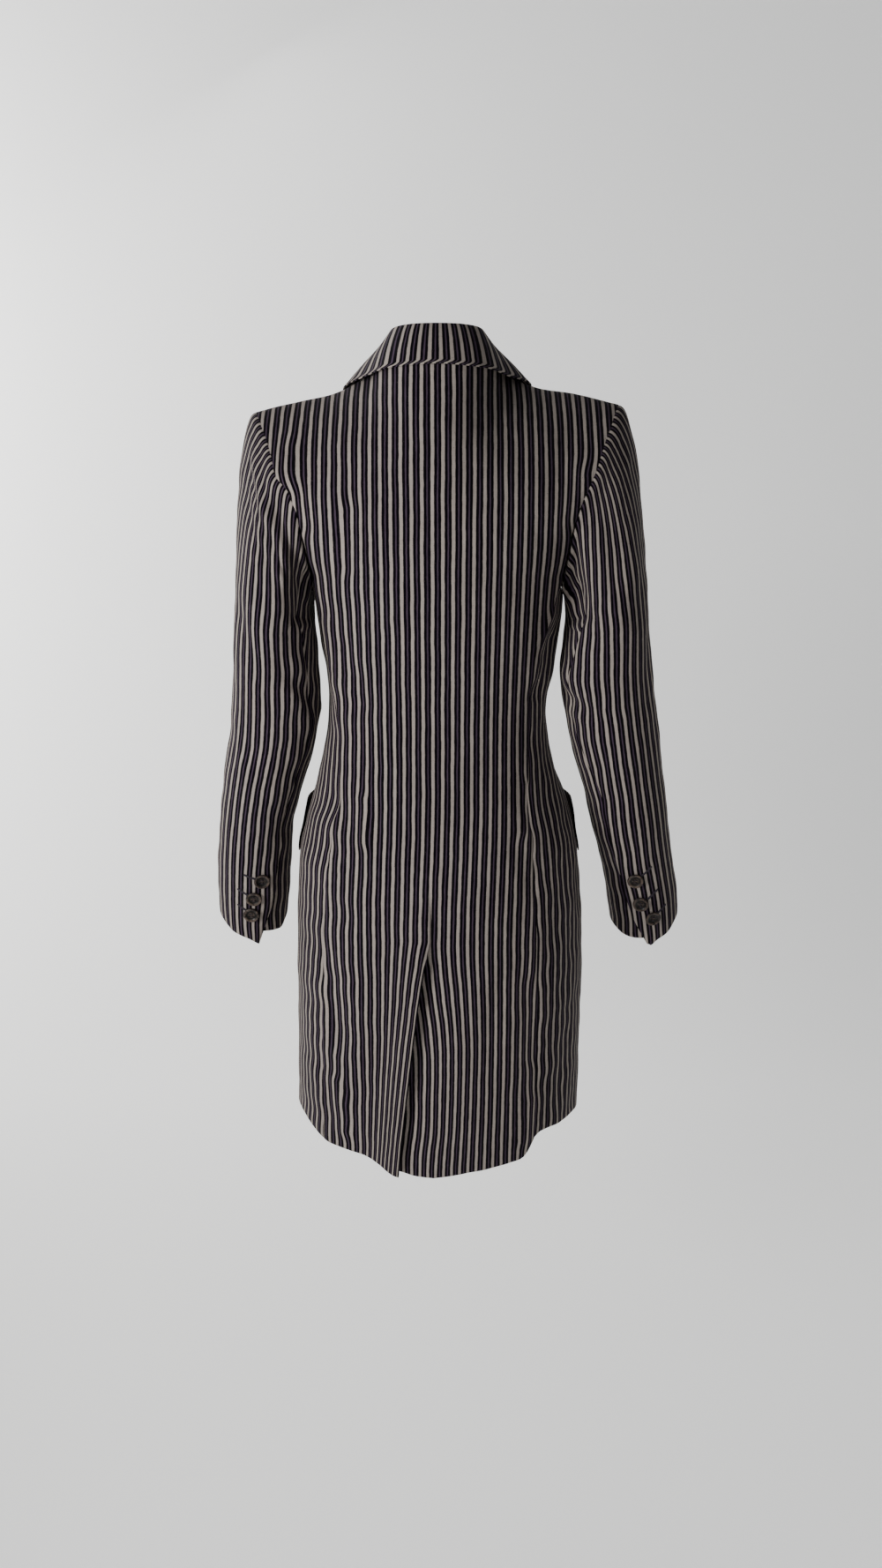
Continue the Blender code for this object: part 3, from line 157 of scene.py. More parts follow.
# How much higher the right shoulder stands, from which place outwards and from which level upwards.
RIGHT_SHOULDER_RISE = 0.0075
RISE_FROM_X, RISE_RUN_X = 0.07, 0.06
RISE_FROM_LEVEL, RISE_RUN_LEVEL = -0.10, 0.07
SHOULDER = np.array(
    [
        (0.067, 0.000, 0.0190),
        (0.083, 0.000, 0.0080),
        (0.105, 0.000, -0.0030),
        (0.145, 0.001, -0.0120),
        (0.170, 0.002, -0.0175),
        (0.192, 0.002, -0.0230),
    ]
)
BACK_ARMHOLE = np.array(
    [
        (0.1378, 0.046, -0.171),
        (0.1410, 0.059, -0.146),
        (0.1465, 0.067, -0.122),
        (0.1565, 0.065, -0.097),
        (0.1670, 0.057, -0.074),
        (0.1755, 0.043, -0.0545),
        (0.1840, 0.025, -0.0360),
        (0.1895, 0.011, -0.0260),
        (0.1920, 0.002, -0.0230),
    ]
)
FRONT_ARMHOLE = np.array(
    [
        (0.1370, -0.061, -0.160),
        (0.1380, -0.068, -0.132),
        (0.1430, -0.068, -0.105),
        (0.1520, -0.060, -0.080),
        (0.1650, -0.044, -0.055),
        (0.1800, -0.022, -0.034),
        (0.1920, 0.002, -0.0230),
    ]
)
FRONT_NECK = np.array(
    [
        (0.018, -0.122, -0.145),
        (0.032, -0.106, -0.095),
        (0.045, -0.084, -0.050),
        (0.056, -0.055, -0.015),
        (0.063, -0.027, 0.006),
        (0.067, 0.000, 0.0190),
    ]
)
# The lowest level of the armhole's edge, under the arm.
ARMHOLE_BOTTOM = -0.213

# Each panel runs from the hem at height 0 to its top at height 1, and passes the underarm here.
UNDER_AT = 0.72
# Across a back half the neck ends here. Then the powers with which a panel turns to its top edge and is
# drawn to its outer edge.
NECK_AT = 0.40
TURN_POWER = 4
EDGE_POWER = 2.4

# How a panel leaves the underarm and rolls over to the shoulder: directions with the length of their pull.
BACK_RISE = np.array([0.0, 0.02, 0.21])
BACK_ROLL = np.array([0.0, -0.08, 0.04])
BACK_SHOULDER_LEAVE = np.array([0.10, 0.0, 0.0])
BACK_SHOULDER_ARRIVE = np.array([0.10, -0.03, -0.02])
FRONT_RISE = np.array([0.0, 0.01, 0.21])
FRONT_ROLL = np.array([0.0, 0.06, 0.04])
FRONT_CHEST = np.array([(0.052, -0.075, 0.004)])
FRONT_SHOULDER_LEAVE = np.array([0.14, 0.0, -0.01])
FRONT_SHOULDER_ARRIVE = np.array([0.12, 0.05, -0.03])

# Where one half lifts to pass over the other: shares across the panel, and levels above the vent's top.
BACK_LAP_FROM, BACK_LAP_RUN = 0.12, 0.30
FRONT_LAP_FROM, FRONT_LAP_RUN = 0.14, 0.30
FRONT_LAP_TOP, FRONT_LAP_FADE = 0.70, 0.10
VENT_LAP_ABOVE, VENT_LAP_FADE = 0.06, 0.05

# The largest folds of the body: 1 on the back or -1 on the front, from x and level, to x and level, half
# width and height. Ridges are above zero and troughs below.
BODY_FOLDS = (
    (1, 0.149, -0.046, 0.161, -0.086, 0.011, 0.0030),
    (1, 0.153, -0.084, 0.135, -0.129, 0.010, 0.0028),
    (1, 0.158, -0.103, 0.142, -0.128, 0.009, -0.0035),
    (1, 0.086, -0.081, 0.099, -0.136, 0.011, -0.0034),
    (1, 0.073, -0.102, 0.091, -0.158, 0.011, 0.0020),
    (1, 0.098, -0.264, 0.080, -0.326, 0.010, -0.0028),
    (1, 0.112, -0.293, 0.095, -0.368, 0.010, 0.0022),
    (1, 0.087, -0.327, 0.083, -0.394, 0.009, -0.0024),
    (1, 0.116, -0.433, 0.095, -0.456, 0.009, -0.0024),
    (1, 0.118, -0.484, 0.099, -0.503, 0.009, -0.0022),
    (1, 0.124, -0.617, 0.114, -0.713, 0.012, -0.0028),
    (1, -0.145, -0.033, -0.129, -0.081, 0.010, -0.0026),
    (1, -0.138, -0.215, -0.115, -0.272, 0.010, -0.0036),
    (1, -0.129, -0.235, -0.106, -0.300, 0.009, 0.0026),
    (1, -0.127, -0.262, -0.108, -0.321, 0.009, -0.0030),
    (1, -0.091, -0.423, -0.105, -0.457, 0.009, -0.0022),
    (1, -0.086, -0.477, -0.106, -0.518, 0.010, -0.0020),
    (1, -0.069, -0.635, -0.060, -0.745, 0.012, -0.0026),
    (1, -0.099, -0.619, -0.110, -0.734, 0.012, -0.0024),
    (-1, 0.030, -0.375, 0.090, -0.330, 0.011, -0.0030),
    (-1, -0.034, -0.380, -0.096, -0.345, 0.011, -0.0034),
    (-1, 0.040, -0.400, 0.104, -0.430, 0.012, 0.0026),
    (-1, -0.050, -0.405, -0.108, -0.420, 0.012, 0.0022),
    (-1, 0.118, -0.215, 0.090, -0.285, 0.011, -0.0032),
    (-1, -0.120, -0.205, -0.086, -0.270, 0.011, -0.0030),
    (-1, 0.070, -0.640, 0.078, -0.760, 0.013, -0.0026),
    (-1, -0.085, -0.620, -0.080, -0.730, 0.013, -0.0028),
)
# A fold shows fully where the cloth lies this far behind or before the shoulder line.
FOLD_FACING_DEPTH = 0.03

# Finer folds and puckers of the body, in the same columns.
FINE_BODY_FOLDS = (
    (1, 0.140, -0.060, 0.150, -0.100, 0.005, -0.0012),
    (1, 0.151, -0.112, 0.141, -0.133, 0.004, 0.0014),
    (1, 0.083, -0.432, 0.083, -0.462, 0.004, -0.0014),
    (1, 0.077, -0.437, 0.078, -0.470, 0.005, 0.0010),
    (1, -0.099, -0.418, -0.098, -0.442, 0.004, -0.0014),
    (1, -0.093, -0.424, -0.093, -0.448, 0.005, 0.0009),
    (1, 0.123, -0.500, 0.112, -0.512, 0.005, -0.0012),
    (1, 0.124, -0.528, 0.110, -0.540, 0.005, 0.0011),
    (1, 0.122, -0.560, 0.106, -0.566, 0.005, -0.0010),
    (1, 0.110, -0.470, 0.104, -0.492, 0.006, 0.0011),
    (1, -0.104, -0.490, -0.116, -0.505, 0.005, -0.0010),
    (1, -0.106, -0.530, -0.118, -0.545, 0.005, -0.0010),
    (1, -0.132, -0.222, -0.112, -0.252, 0.005, 0.0013),
    (1, -0.134, -0.246, -0.112, -0.288, 0.005, -0.0014),
    (1, -0.128, -0.290, -0.113, -0.330, 0.005, 0.0010),
    (1, 0.128, -0.235, 0.120, -0.300, 0.006, -0.0012),
    (1, 0.134, -0.760, 0.128, -0.820, 0.007, -0.0014),
    (1, 0.150, -0.700, 0.147, -0.780, 0.008, 0.0012),
    (1, -0.128, -0.770, -0.122, -0.835, 0.007, -0.0014),
    (1, -0.150, -0.690, -0.146, -0.790, 0.008, -0.0012),
    (1, 0.060, -0.700, 0.052, -0.830, 0.010, -0.0012),
    (1, -0.030, -0.700, -0.028, -0.840, 0.010, 0.0010),
    (1, 0.020, -0.560, 0.016, -0.600, 0.006, 0.0010),
    (-1, 0.014, -0.290, 0.060, -0.262, 0.006, -0.0014),
    (-1, -0.016, -0.292, -0.062, -0.272, 0.006, -0.0015),
    (-1, 0.020, -0.382, 0.072, -0.352, 0.006, -0.0014),
    (-1, -0.020, -0.390, -0.080, -0.372, 0.006, 0.0013),
    (-1, 0.015, -0.484, 0.055, -0.510, 0.007, -0.0013),
    (-1, -0.016, -0.486, -0.060, -0.520, 0.007, -0.0014),
    (-1, 0.120, -0.330, 0.100, -0.370, 0.006, 0.0012),
    (-1, -0.122, -0.320, -0.104, -0.356, 0.006, 0.0012),
    (-1, 0.135, -0.140, 0.118, -0.190, 0.007, -0.0014),
    (-1, -0.134, -0.136, -0.119, -0.186, 0.007, -0.0015),
    (-1, 0.110, -0.540, 0.116, -0.640, 0.009, -0.0013),
    (-1, -0.112, -0.540, -0.120, -0.650, 0.009, -0.0012),
)

# The largest folds of the sleeves: 1 for the left or -1 for the right, from angle and place, to angle and
# place, half width and height.
SLEEVE_FOLDS = (
    (1, 38.0, 0.120, 76.0, 0.175, 0.010, -0.0030),
    (1, 39.0, 0.075, 100.0, 0.140, 0.011, 0.0030),
    (1, 62.0, 0.075, 118.0, 0.125, 0.011, -0.0038),
    (1, 46.0, 0.305, 74.0, 0.405, 0.011, -0.0026),
    (1, 108.0, 0.405, 148.0, 0.475, 0.010, -0.0034),
    (1, 124.0, 0.455, 156.0, 0.540, 0.010, 0.0026),
    (1, 250.0, 0.480, 200.0, 0.545, 0.011, -0.0036),
    (1, 262.0, 0.560, 208.0, 0.590, 0.011, -0.0030),
    (1, 300.0, 0.120, 272.0, 0.190, 0.012, -0.0032),
    (-1, 64.0, 0.070, 80.0, 0.215, 0.012, -0.0028),
    (-1, 40.0, 0.100, 52.0, 0.230, 0.012, 0.0024),
    (-1, 130.0, 0.135, 116.0, 0.265, 0.010, -0.0032),
    (-1, 114.0, 0.440, 160.0, 0.425, 0.009, 0.0026),
    (-1, 124.0, 0.475, 162.0, 0.455, 0.009, -0.0034),
    (-1, 107.0, 0.700, 130.0, 0.630, 0.011, -0.0024),
    (-1, 248.0, 0.470, 204.0, 0.530, 0.011, -0.0034),
    (-1, 258.0, 0.545, 210.0, 0.580, 0.011, -0.0030),
    (-1, 296.0, 0.110, 270.0, 0.180, 0.012, -0.0030),
)

# Finer folds and puckers of the sleeves, in the same columns.
FINE_SLEEVE_FOLDS = (
    (1, 30.0, 0.090, 96.0, 0.158, 0.006, -0.0020),
    (1, 38.0, 0.118, 99.0, 0.182, 0.006, 0.0022),
    (1, 99.0, 0.182, 118.0, 0.300, 0.007, 0.0016),
    (1, 60.0, 0.200, 86.0, 0.260, 0.006, -0.0012),
    (1, 112.0, 0.440, 150.0, 0.500, 0.005, 0.0014),
    (1, 118.0, 0.500, 150.0, 0.545, 0.006, -0.0015),
    (1, 86.0, 0.470, 110.0, 0.520, 0.007, -0.0012),
    (1, 40.0, 0.520, 60.0, 0.600, 0.008, 0.0012),
    (1, 240.0, 0.440, 196.0, 0.500, 0.006, 0.0016),
    (1, 256.0, 0.520, 204.0, 0.562, 0.006, 0.0015),
    (1, 300.0, 0.480, 268.0, 0.545, 0.007, -0.0014),
    (1, 110.0, 0.700, 124.0, 0.760, 0.006, 0.0011),
    (1, 60.0, 0.720, 84.0, 0.800, 0.008, -0.0010),
    (-1, 30.0, 0.060, 50.0, 0.140, 0.006, -0.0012),
    (-1, 84.0, 0.090, 104.0, 0.170, 0.006, -0.0014),
    (-1, 122.0, 0.190, 100.0, 0.300, 0.006, 0.0014),
    (-1, 108.0, 0.240, 90.0, 0.340, 0.007, -0.0012),
    (-1, 118.0, 0.458, 160.0, 0.440, 0.004, 0.0014),
    (-1, 122.0, 0.500, 158.0, 0.480, 0.005, 0.0012),
    (-1, 80.0, 0.470, 112.0, 0.490, 0.006, -0.0011),
    (-1, 104.0, 0.560, 134.0, 0.600, 0.007, -0.0012),
    (-1, 116.0, 0.660, 132.0, 0.600, 0.006, 0.0011),
    (-1, 236.0, 0.430, 196.0, 0.490, 0.006, 0.0014),
    (-1, 252.0, 0.505, 204.0, 0.555, 0.006, 0.0014),
    (-1, 60.0, 0.760, 82.0, 0.840, 0.008, -0.0010),
    (1, 124.0, 0.090, 138.0, 0.250, 0.017, -0.0070),
    (-1, 124.0, 0.070, 142.0, 0.250, 0.020, -0.0095),
    (1, 20.0, 0.300, 34.0, 0.420, 0.009, 0.0013),
    (1, 70.0, 0.560, 96.0, 0.640, 0.009, -0.0013),
    (-1, 30.0, 0.360, 44.0, 0.480, 0.009, -0.0013),
    (-1, 66.0, 0.560, 90.0, 0.650, 0.009, 0.0012),
)

# What turns places and angles of the sleeves into metres, to measure their folds.
SLEEVE_LENGTH = 0.47
SLEEVE_METRES_PER_DEGREE = 0.0009

# The sleeves, one row per ring down the arm: level, outer edge, inner edge, middle from front to back, half
# depth.
SLEEVE_LEFT = np.array(
    [
        (-0.2500, 0.2255, 0.1375, 0.004, 0.068),
        (-0.3000, 0.2295, 0.1345, 0.007, 0.062),
        (-0.3380, 0.2340, 0.1340, 0.006, 0.057),
        (-0.3800, 0.2400, 0.1425, 0.000, 0.054),
        (-0.4240, 0.2495, 0.1570, -0.006, 0.052),
        (-0.4775, 0.2585, 0.1725, -0.015, 0.050),
        (-0.5240, 0.2655, 0.1780, -0.022, 0.048),
        (-0.5700, 0.2700, 0.1830, -0.030, 0.046),
        (-0.6100, 0.2710, 0.1890, -0.036, 0.044),
        (-0.6350, 0.2695, 0.1910, -0.040, 0.043),
    ]
)
SLEEVE_RIGHT = np.array(
    [
        (-0.2500, 0.2360, 0.1440, 0.004, 0.068),
        (-0.3000, 0.2420, 0.1390, 0.007, 0.062),
        (-0.3530, 0.2510, 0.1490, 0.003, 0.057),
        (-0.3940, 0.2585, 0.1590, -0.002, 0.054),
        (-0.4240, 0.2635, 0.1690, -0.006, 0.052),
        (-0.4640, 0.2710, 0.1800, -0.012, 0.051),
        (-0.5050, 0.2785, 0.1910, -0.019, 0.049),
        (-0.5410, 0.2855, 0.2015, -0.026, 0.047),
        (-0.5950, 0.2970, 0.2120, -0.034, 0.045),
        (-0.6370, 0.3010, 0.2200, -0.040, 0.043),
    ]
)
# The cap ends here down the sleeve. Then the clearance of its turn, and how strongly it springs out of the
# armhole and comes down onto the first ring.
CAP_AT = 0.34
TURN_CLEARANCE = 0.0006
CAP_SPRING = 0.34
CAP_DROP = 0.70

# Seams down the sleeve as angles round it, 0 outside, 90 at the back, 180 inside: place down the sleeve,
# angle on the left, angle on the right.
ELBOW_SEAM_AT, ELBOW_SEAM_LEFT, ELBOW_SEAM_RIGHT = np.array(
    [
        (0.00, 128.0, 128.0),
        (0.34, 140.0, 140.0),
        (0.50, 147.0, 151.0),
        (0.62, 142.0, 134.0),
        (0.80, 136.0, 126.0),
        (0.89, 124.0, 115.0),
        (0.94, 116.0, 106.0),
        (1.00, 100.0, 88.0),
    ]
).T
INNER_SEAM_AT, INNER_SEAM = np.array([(0.0, 236.0), (0.34, 228.0), (1.0, 232.0)]).T

# The vent of the cuff: where and over how much of the sleeve it opens, how far the upper and the under
# sleeve lap there as angles, how far one lifts over the other, from how far above the vent, and over which
# shares across.
CUFF_VENT_AT = 0.84
CUFF_VENT_RUN = 0.035
CUFF_OVERLAP_DEG = 5.0
CUFF_UNDERLAP_DEG = 14.0
CUFF_LAP_LIFT = 0.0021
CUFF_LAP_ABOVE, CUFF_LAP_FADE = 0.07, 0.06
UPPER_LAP_FROM, UNDER_LAP_RUN = 0.72, 0.42

# Where the cuff's edge lies, as a place down the sleeve. The upper sleeve hangs to a point beside its vent.
# Angle, place on the left, place on the right.
UPPER_CUFF_ANGLE, UPPER_CUFF_LEFT, UPPER_CUFF_RIGHT = np.array(
    [
        (-130.0, 0.965, 0.965),
        (-60.0, 0.960, 0.960),
        (0.0, 0.955, 0.960),
        (35.0, 0.960, 0.965),
        (60.0, 0.974, 0.982),
        (78.0, 0.980, 0.990),
        (90.0, 0.985, 1.000),
        (105.0, 1.000, 1.000),
    ]
).T
UNDER_CUFF_ANGLE, UNDER_CUFF_LEFT, UNDER_CUFF_RIGHT = np.array(
    [
        (70.0, 0.972, 0.980),
        (100.0, 0.970, 0.984),
        (137.0, 0.980, 0.980),
        (154.0, 0.984, 0.972),
        (170.0, 0.972, 0.968),
        (232.0, 0.965, 0.965),
    ]
).T
# From here down, the rows are drawn up to the cuff's edge.
CUFF_EDGE_FROM = 0.85

# Where the sleeves' folds fade in and out down the arm.
FOLDS_RUN = 0.05
FOLDS_TO, FOLDS_TO_RUN = 0.85, 0.10

# Curves and small helpers

# The least length that a vector is divided by.
TINY = 1e-12


def hermite(start, leave, end, arrive, part):
    """The cubic from start to end that leaves and arrives along two given ways, at a share of the way."""
    square = part * part
    cube = square * part
    return (
        (2 * cube - 3 * square + 1) * start
        + (cube - 2 * square + part) * leave
        + (3 * square - 2 * cube) * end
        + (cube - square) * arrive
    )


def through(keys, values, at):
    """A smooth curve through values at rising keys: a cubic between each two, whose slope at a key comes from
    the values on both sides of it."""
    keys = np.asarray(keys, float)
    values = np.asarray(values, float)
    slopes = np.gradient(values, keys, axis=0)
    at = np.clip(np.asarray(at, float), keys[0], keys[-1])
    low = np.clip(np.searchsorted(keys, at, side="right") - 1, 0, len(keys) - 2)
    step = keys[low + 1] - keys[low]
    part = (at - keys[low]) / step
    if values.ndim == 2:
        step, part = step[..., None], part[..., None]
    return hermite(values[low], step * slopes[low], values[low + 1], step * slopes[low + 1], part)


def between(keys, values, at):
    """Straight lines through the rows of a table at rising keys, column by column."""
    return np.stack([np.interp(at, keys, column) for column in values.T], axis=-1)


def ease(part):
    """0 to 1 with level ends: three times the square less twice the cube."""
    part = np.clip(part, 0.0, 1.0)
    return part * part * (3 - 2 * part)


def bell(distance, width):
    """1 at no distance, less to both sides: the exponential of minus the square of the distance over a
    width."""
    return np.exp(-((distance / width) ** 2))


def unit(vectors):
    """Vectors divided by their lengths."""
    return vectors / np.maximum(np.linalg.norm(vectors, axis=-1, keepdims=True), TINY)


def lengths_along(points):
    """Each point's share of the way along the line through them."""
    steps = np.linalg.norm(np.diff(points, axis=0), axis=1)
    way = np.concatenate([[0.0], np.cumsum(steps)])
    return way / way[-1]


def mirrored(points, side):
    """Points or directions of the wearer's left brought to a side."""
    return points * np.array([side, 1.0, 1.0])


def placed(points, side):
    """Points of the wearer's left brought to a side. The right shoulder stands a little higher."""
    moved = mirrored(points, side)
    if side < 0:
        outwards = ease((points[:, 0] - RISE_FROM_X) / RISE_RUN_X)
        upwards = ease((points[:, 2] - RISE_FROM_LEVEL) / RISE_RUN_LEVEL)
        moved[:, 2] += RIGHT_SHOULDER_RISE * outwards * upwards
    return moved


# Folds


def fold_height(rows, first, second):
    """The height of soft folds along short lines, at places given by two coordinates in metres: the sum of a
    bell curve for each, of the distance from its line."""
    height = 0.0 * first
    for x1, y1, x2, y2, half_width, rise in rows:
        run, climb = x2 - x1, y2 - y1
        along = np.clip(((first - x1) * run + (second - y1) * climb) / (run * run + climb * climb), 0, 1)
        away = np.hypot(first - x1 - along * run, second - y1 - along * climb)
        height = height + rise * bell(away, half_width)
    return height


# The crumple of the linen: directions across and up, waves a metre, phase and height, and how much a metre
# from front to back counts as across.
CRUMPLE = (
    (0.92, 0.40, 21.0, 0.3, 0.00028),
    (-0.55, 0.84, 17.0, 1.9, 0.00030),
    (0.30, 0.95, 29.0, 4.1, 0.00018),
    (0.98, -0.20, 34.0, 2.6, 0.00015),
    (-0.80, 0.60, 43.0, 5.2, 0.00011),
)
CRUMPLE_DEPTH_SHARE = 0.6


def crumple(points):
    """Adds up slow waves of the cloth, each a sine along its own direction across and up."""
    height = 0.0
    for wide, high, waves, phase, rise in CRUMPLE:
        way = wide * (points[..., 0] + CRUMPLE_DEPTH_SHARE * points[..., 1]) + high * points[..., 2]
        height = height + rise * np.sin(2 * np.pi * waves * way + phase)
    return height


def folded(points):
    """Moves points of the body's cloth in or out by its folds. Pieces that meet at a seam move as one."""
    height = crumple(points)
    for facing in (1, -1):
        rows = [row[1:] for row in BODY_FOLDS + FINE_BODY_FOLDS if row[0] == facing]
        shown = ease(facing * points[..., 1] / FOLD_FACING_DEPTH)
        height = height + fold_height(rows, points[..., 0], points[..., 2]) * shown
    return points + unit(points * np.array([1.0, 1.0, 0.0])) * height[..., None]


# The body below the underarm


def body_sizes(angle, level):
    """The half width on the angle's side, the half depth, and the middle from front to back."""
    left = through(BODY_LEVEL, BODY_LEFT, level)
    right = through(BODY_LEVEL, BODY_RIGHT, level)
    back = through(BODY_LEVEL, BODY_BACK, level)
    front = through(BODY_LEVEL, BODY_FRONT, level)
    return np.where(np.sin(angle) >= 0, left, right), (back - front) / 2, (back + front) / 2


def body(angle, level):
    """A point of the body at an angle from the back, growing towards the wearer's left: as far out as the two
    parts of its direction, over the half width and half depth and raised to the roundness, add up to 1."""
    half, depth, middle = body_sizes(angle, level)
    sine = np.sin(angle)
    cosine = np.cos(angle)
    reach = (np.abs(sine / half) ** ROUNDNESS + np.abs(cosine / depth) ** ROUNDNESS) ** (-1 / ROUNDNESS)
    return np.stack([reach * sine, middle + reach * cosine, level + 0 * reach], axis=-1)


def angle_at_x(x, level, facing):
    """The angle of the back (facing 1) or front (facing -1) at a sideways place."""
    half, depth, _ = body_sizes(np.sign(x) * 1.0, level)
    inside = np.clip(1 - np.abs(x / half) ** ROUNDNESS, 0, 1)
    return np.arctan2(x, facing * depth * inside ** (1 / ROUNDNESS))


def angle_at_y(y, level, side):
    """The angle of a side at a place from front to back."""
    half, depth, middle = body_sizes(side * 1.0 + 0 * level, level)
    inside = np.clip(1 - np.abs((y - middle) / depth) ** ROUNDNESS, 0, 1)
    return np.arctan2(side * half * inside ** (1 / ROUNDNESS), y - middle)


def hem_level(angle):
    """The level of the hem at an angle from the back."""
    degrees = np.degrees(np.abs(angle))
    left = through(HEM_ANGLE, HEM_LEFT, degrees)
    right = through(HEM_ANGLE, HEM_RIGHT, degrees)
    return np.where(angle >= 0, left, right)


def vent_swing(level):
    """How far the vent's edge has moved to the wearer's left at a level: a power of the way down the vent."""
    return VENT_SWING * np.clip((VENT_TOP - level) / VENT_LENGTH, 0, 1) ** VENT_SWING_POWER


def level_of(height, hem, top):
    """The level at a share of the way from the hem to the top."""
    return hem + (top - hem) * height


def back_edges(side, level):
    """Angles of a back panel's centre edge and side edge."""
    swing = vent_swing(level)
    if side < 0:
        swing = swing + UNDERLAP * ease((VENT_TOP - level) / UNDERLAP_RUN)
    centre = angle_at_x(SPINE_X + swing, level, 1)
    reach = through(SIDE_SEAM_LEVEL, SIDE_SEAM_LEFT if side > 0 else SIDE_SEAM_RIGHT, level)
    return centre, angle_at_x(SPINE_X + side * reach, level, 1)


def top_patch(bottom, top, soft_top, inner, outer, rise, roll, across, height):
    """A panel above the underarm, filled between its four edges. It rises upright towards a soft top line,
    and only near its top turns to meet its true top edge."""
    across = across[..., None]
    height = height[..., None]

    def column(at):
        turned = (top(at) - soft_top(at)) * height**TURN_POWER
        return hermite(bottom(at), rise, soft_top(at), roll, height) + turned

    first = inner(height) - column(0 * across)
    last = outer(height) - column(0 * across + 1)
    return column(across) + (1 - across) * first + across**EDGE_POWER * last


def edge_curve(points):
    """A function of the share of the way along the smooth line through the points."""
    share = lengths_along(points)
    return lambda part: through(share, points, part[..., 0])


def underarm_line(start, end):
    """A function of the share across: the body's points at the underarm between two angles."""
    return lambda across: body(start + (end - start) * across[..., 0], UNDERARM + 0 * across[..., 0])


def soft_line(side, start, leave, end, arrive):
    """A function of the share across: the cubic between two points, with the ways of the wearer's left."""
    leave, arrive = mirrored(leave, side), mirrored(arrive, side)
    return lambda across: hermite(start, leave, end, arrive, across)


def back_top(side):
    """The four edges of a back panel above the underarm."""
    start, end = back_edges(side, np.array(UNDERARM))
    levels = np.linspace(UNDERARM, SPINE_TOP, SPINE_ROWS)
    spine = np.stack([SPINE_X + 0 * levels, through(SPINE_LEVEL, SPINE_BACK, levels), levels], axis=-1)
    armhole = np.vstack([body(end, np.array(UNDERARM)), placed(BACK_ARMHOLE, side)])
    neck = placed(NECK, side)
    neck[0, 0] = SPINE_X
    neck_line = edge_curve(neck)
    shoulder_line = edge_curve(placed(SHOULDER, side))

    def top(across):
        on_neck = neck_line(np.clip(across / NECK_AT, 0, 1))
        on_shoulder = shoulder_line(np.clip((across - NECK_AT) / (1 - NECK_AT), 0, 1))
        return np.where(across < NECK_AT, on_neck, on_shoulder)

    bottom = underarm_line(start, end)
    first, last = top(np.zeros(1)), top(np.ones(1))
    soft_top = soft_line(side, first, BACK_SHOULDER_LEAVE, last, BACK_SHOULDER_ARRIVE)
    return bottom, top, soft_top, edge_curve(spine), edge_curve(armhole), BACK_RISE, BACK_ROLL


def front_top(side):
    """The four edges of a front above the underarm."""
    start = angle_at_x(side * ROLL_AT_UNDERARM, np.array(UNDERARM), -1)
    end = angle_at_y(through(FORE_SEAM_LEVEL, FORE_SEAM_Y, UNDERARM), np.array(UNDERARM), side)
    armhole = np.vstack([body(end, np.array(UNDERARM)), placed(FRONT_ARMHOLE, side)])
    neck = np.vstack([body(start, np.array(UNDERARM)), placed(FRONT_NECK, side)])
    top = edge_curve(placed(SHOULDER, side))
    bottom = underarm_line(start, end)
    first, last = placed(FRONT_CHEST, side)[0], top(np.ones(1))
    soft_top = soft_line(side, first, FRONT_SHOULDER_LEAVE, last, FRONT_SHOULDER_ARRIVE)
    return bottom, top, soft_top, edge_curve(neck), edge_curve(armhole), FRONT_RISE, FRONT_ROLL


TOPS = {(edges, side): edges(side) for edges in (back_top, front_top) for side in (1, -1)}


def panel(side, across, height, hem_at, edges, top):
    """Below the underarm a panel follows the body between its two edges. Above, it fills its top patch."""
    low = np.clip(height / UNDER_AT, 0, 1)
    high = np.clip((height - UNDER_AT) / (1 - UNDER_AT), 0, 1)
    level = level_of(low, hem_level(hem_at), UNDERARM)
    start, end = edges(side, level)
    lower = body(start + (end - start) * across, level)
    upper = top_patch(*TOPS[(top, side)], across, high)
    return np.where((height <= UNDER_AT)[..., None], lower, upper)


def back_flat(side, across, height):
    """A back half before it laps the other one, and without folds."""
    start, end = back_edges(side, np.array(BACK_HEM_ABOUT))
    return panel(side, across, height, start + (end - start) * across, back_edges, back_top)


def front_edges(side, level):
    """Angles of a front's centre edge and of its side seam."""
    rolled = np.clip((level - BREAK_LEVEL) / (UNDERARM - BREAK_LEVEL), 0, 1)
    past = FRONT_PAST - (ROLL_AT_UNDERARM + FRONT_PAST) * rolled
    start = angle_at_x(-side * past, level, -1)
    start = np.where(side * start < 0, start + side * 2 * np.pi, start)
    end = angle_at_y(through(FORE_SEAM_LEVEL, FORE_SEAM_Y, level), level, side)
    return start, end


def front_flat(side, across, height):
    """A front before it laps the other one, and without folds. Where it passes the centre, its hem stays
    level with the centre's."""
    start, end = front_edges(side, np.array(SIDE_HEM_ABOUT))
    angle = start + (end - start) * across
    angle = np.where(np.abs(angle) > np.pi, np.sign(angle) * np.pi, angle)
    return panel(side, across, height, angle, front_edges, front_top)


def side_flat(side, across, height):
    """The panel under the arm, whose top edge dips to the bottom of the armhole."""
    hem_start = back_edges(side, np.array(SIDE_HEM_ABOUT))[1]
    hem_end = angle_at_y(FORE_SEAM_ABOUT, np.array(SIDE_HEM_ABOUT), side)
    hem = hem_level(hem_start + (hem_end - hem_start) * across)
    dip = 1 - (2 * across - 1) ** 2
    top = UNDERARM + (ARMHOLE_BOTTOM - UNDERARM) * np.sqrt(np.clip(dip, 0, 1))
    level = level_of(height, hem, top)
    start = back_edges(side, level)[1]
    end = angle_at_y(through(FORE_SEAM_LEVEL, FORE_SEAM_Y, level), level, side)
    return body(start + (end - start) * across, level)


# How far to both sides a surface's direction is taken, in shares across and up.
SURFACE_STEP = 1e-4


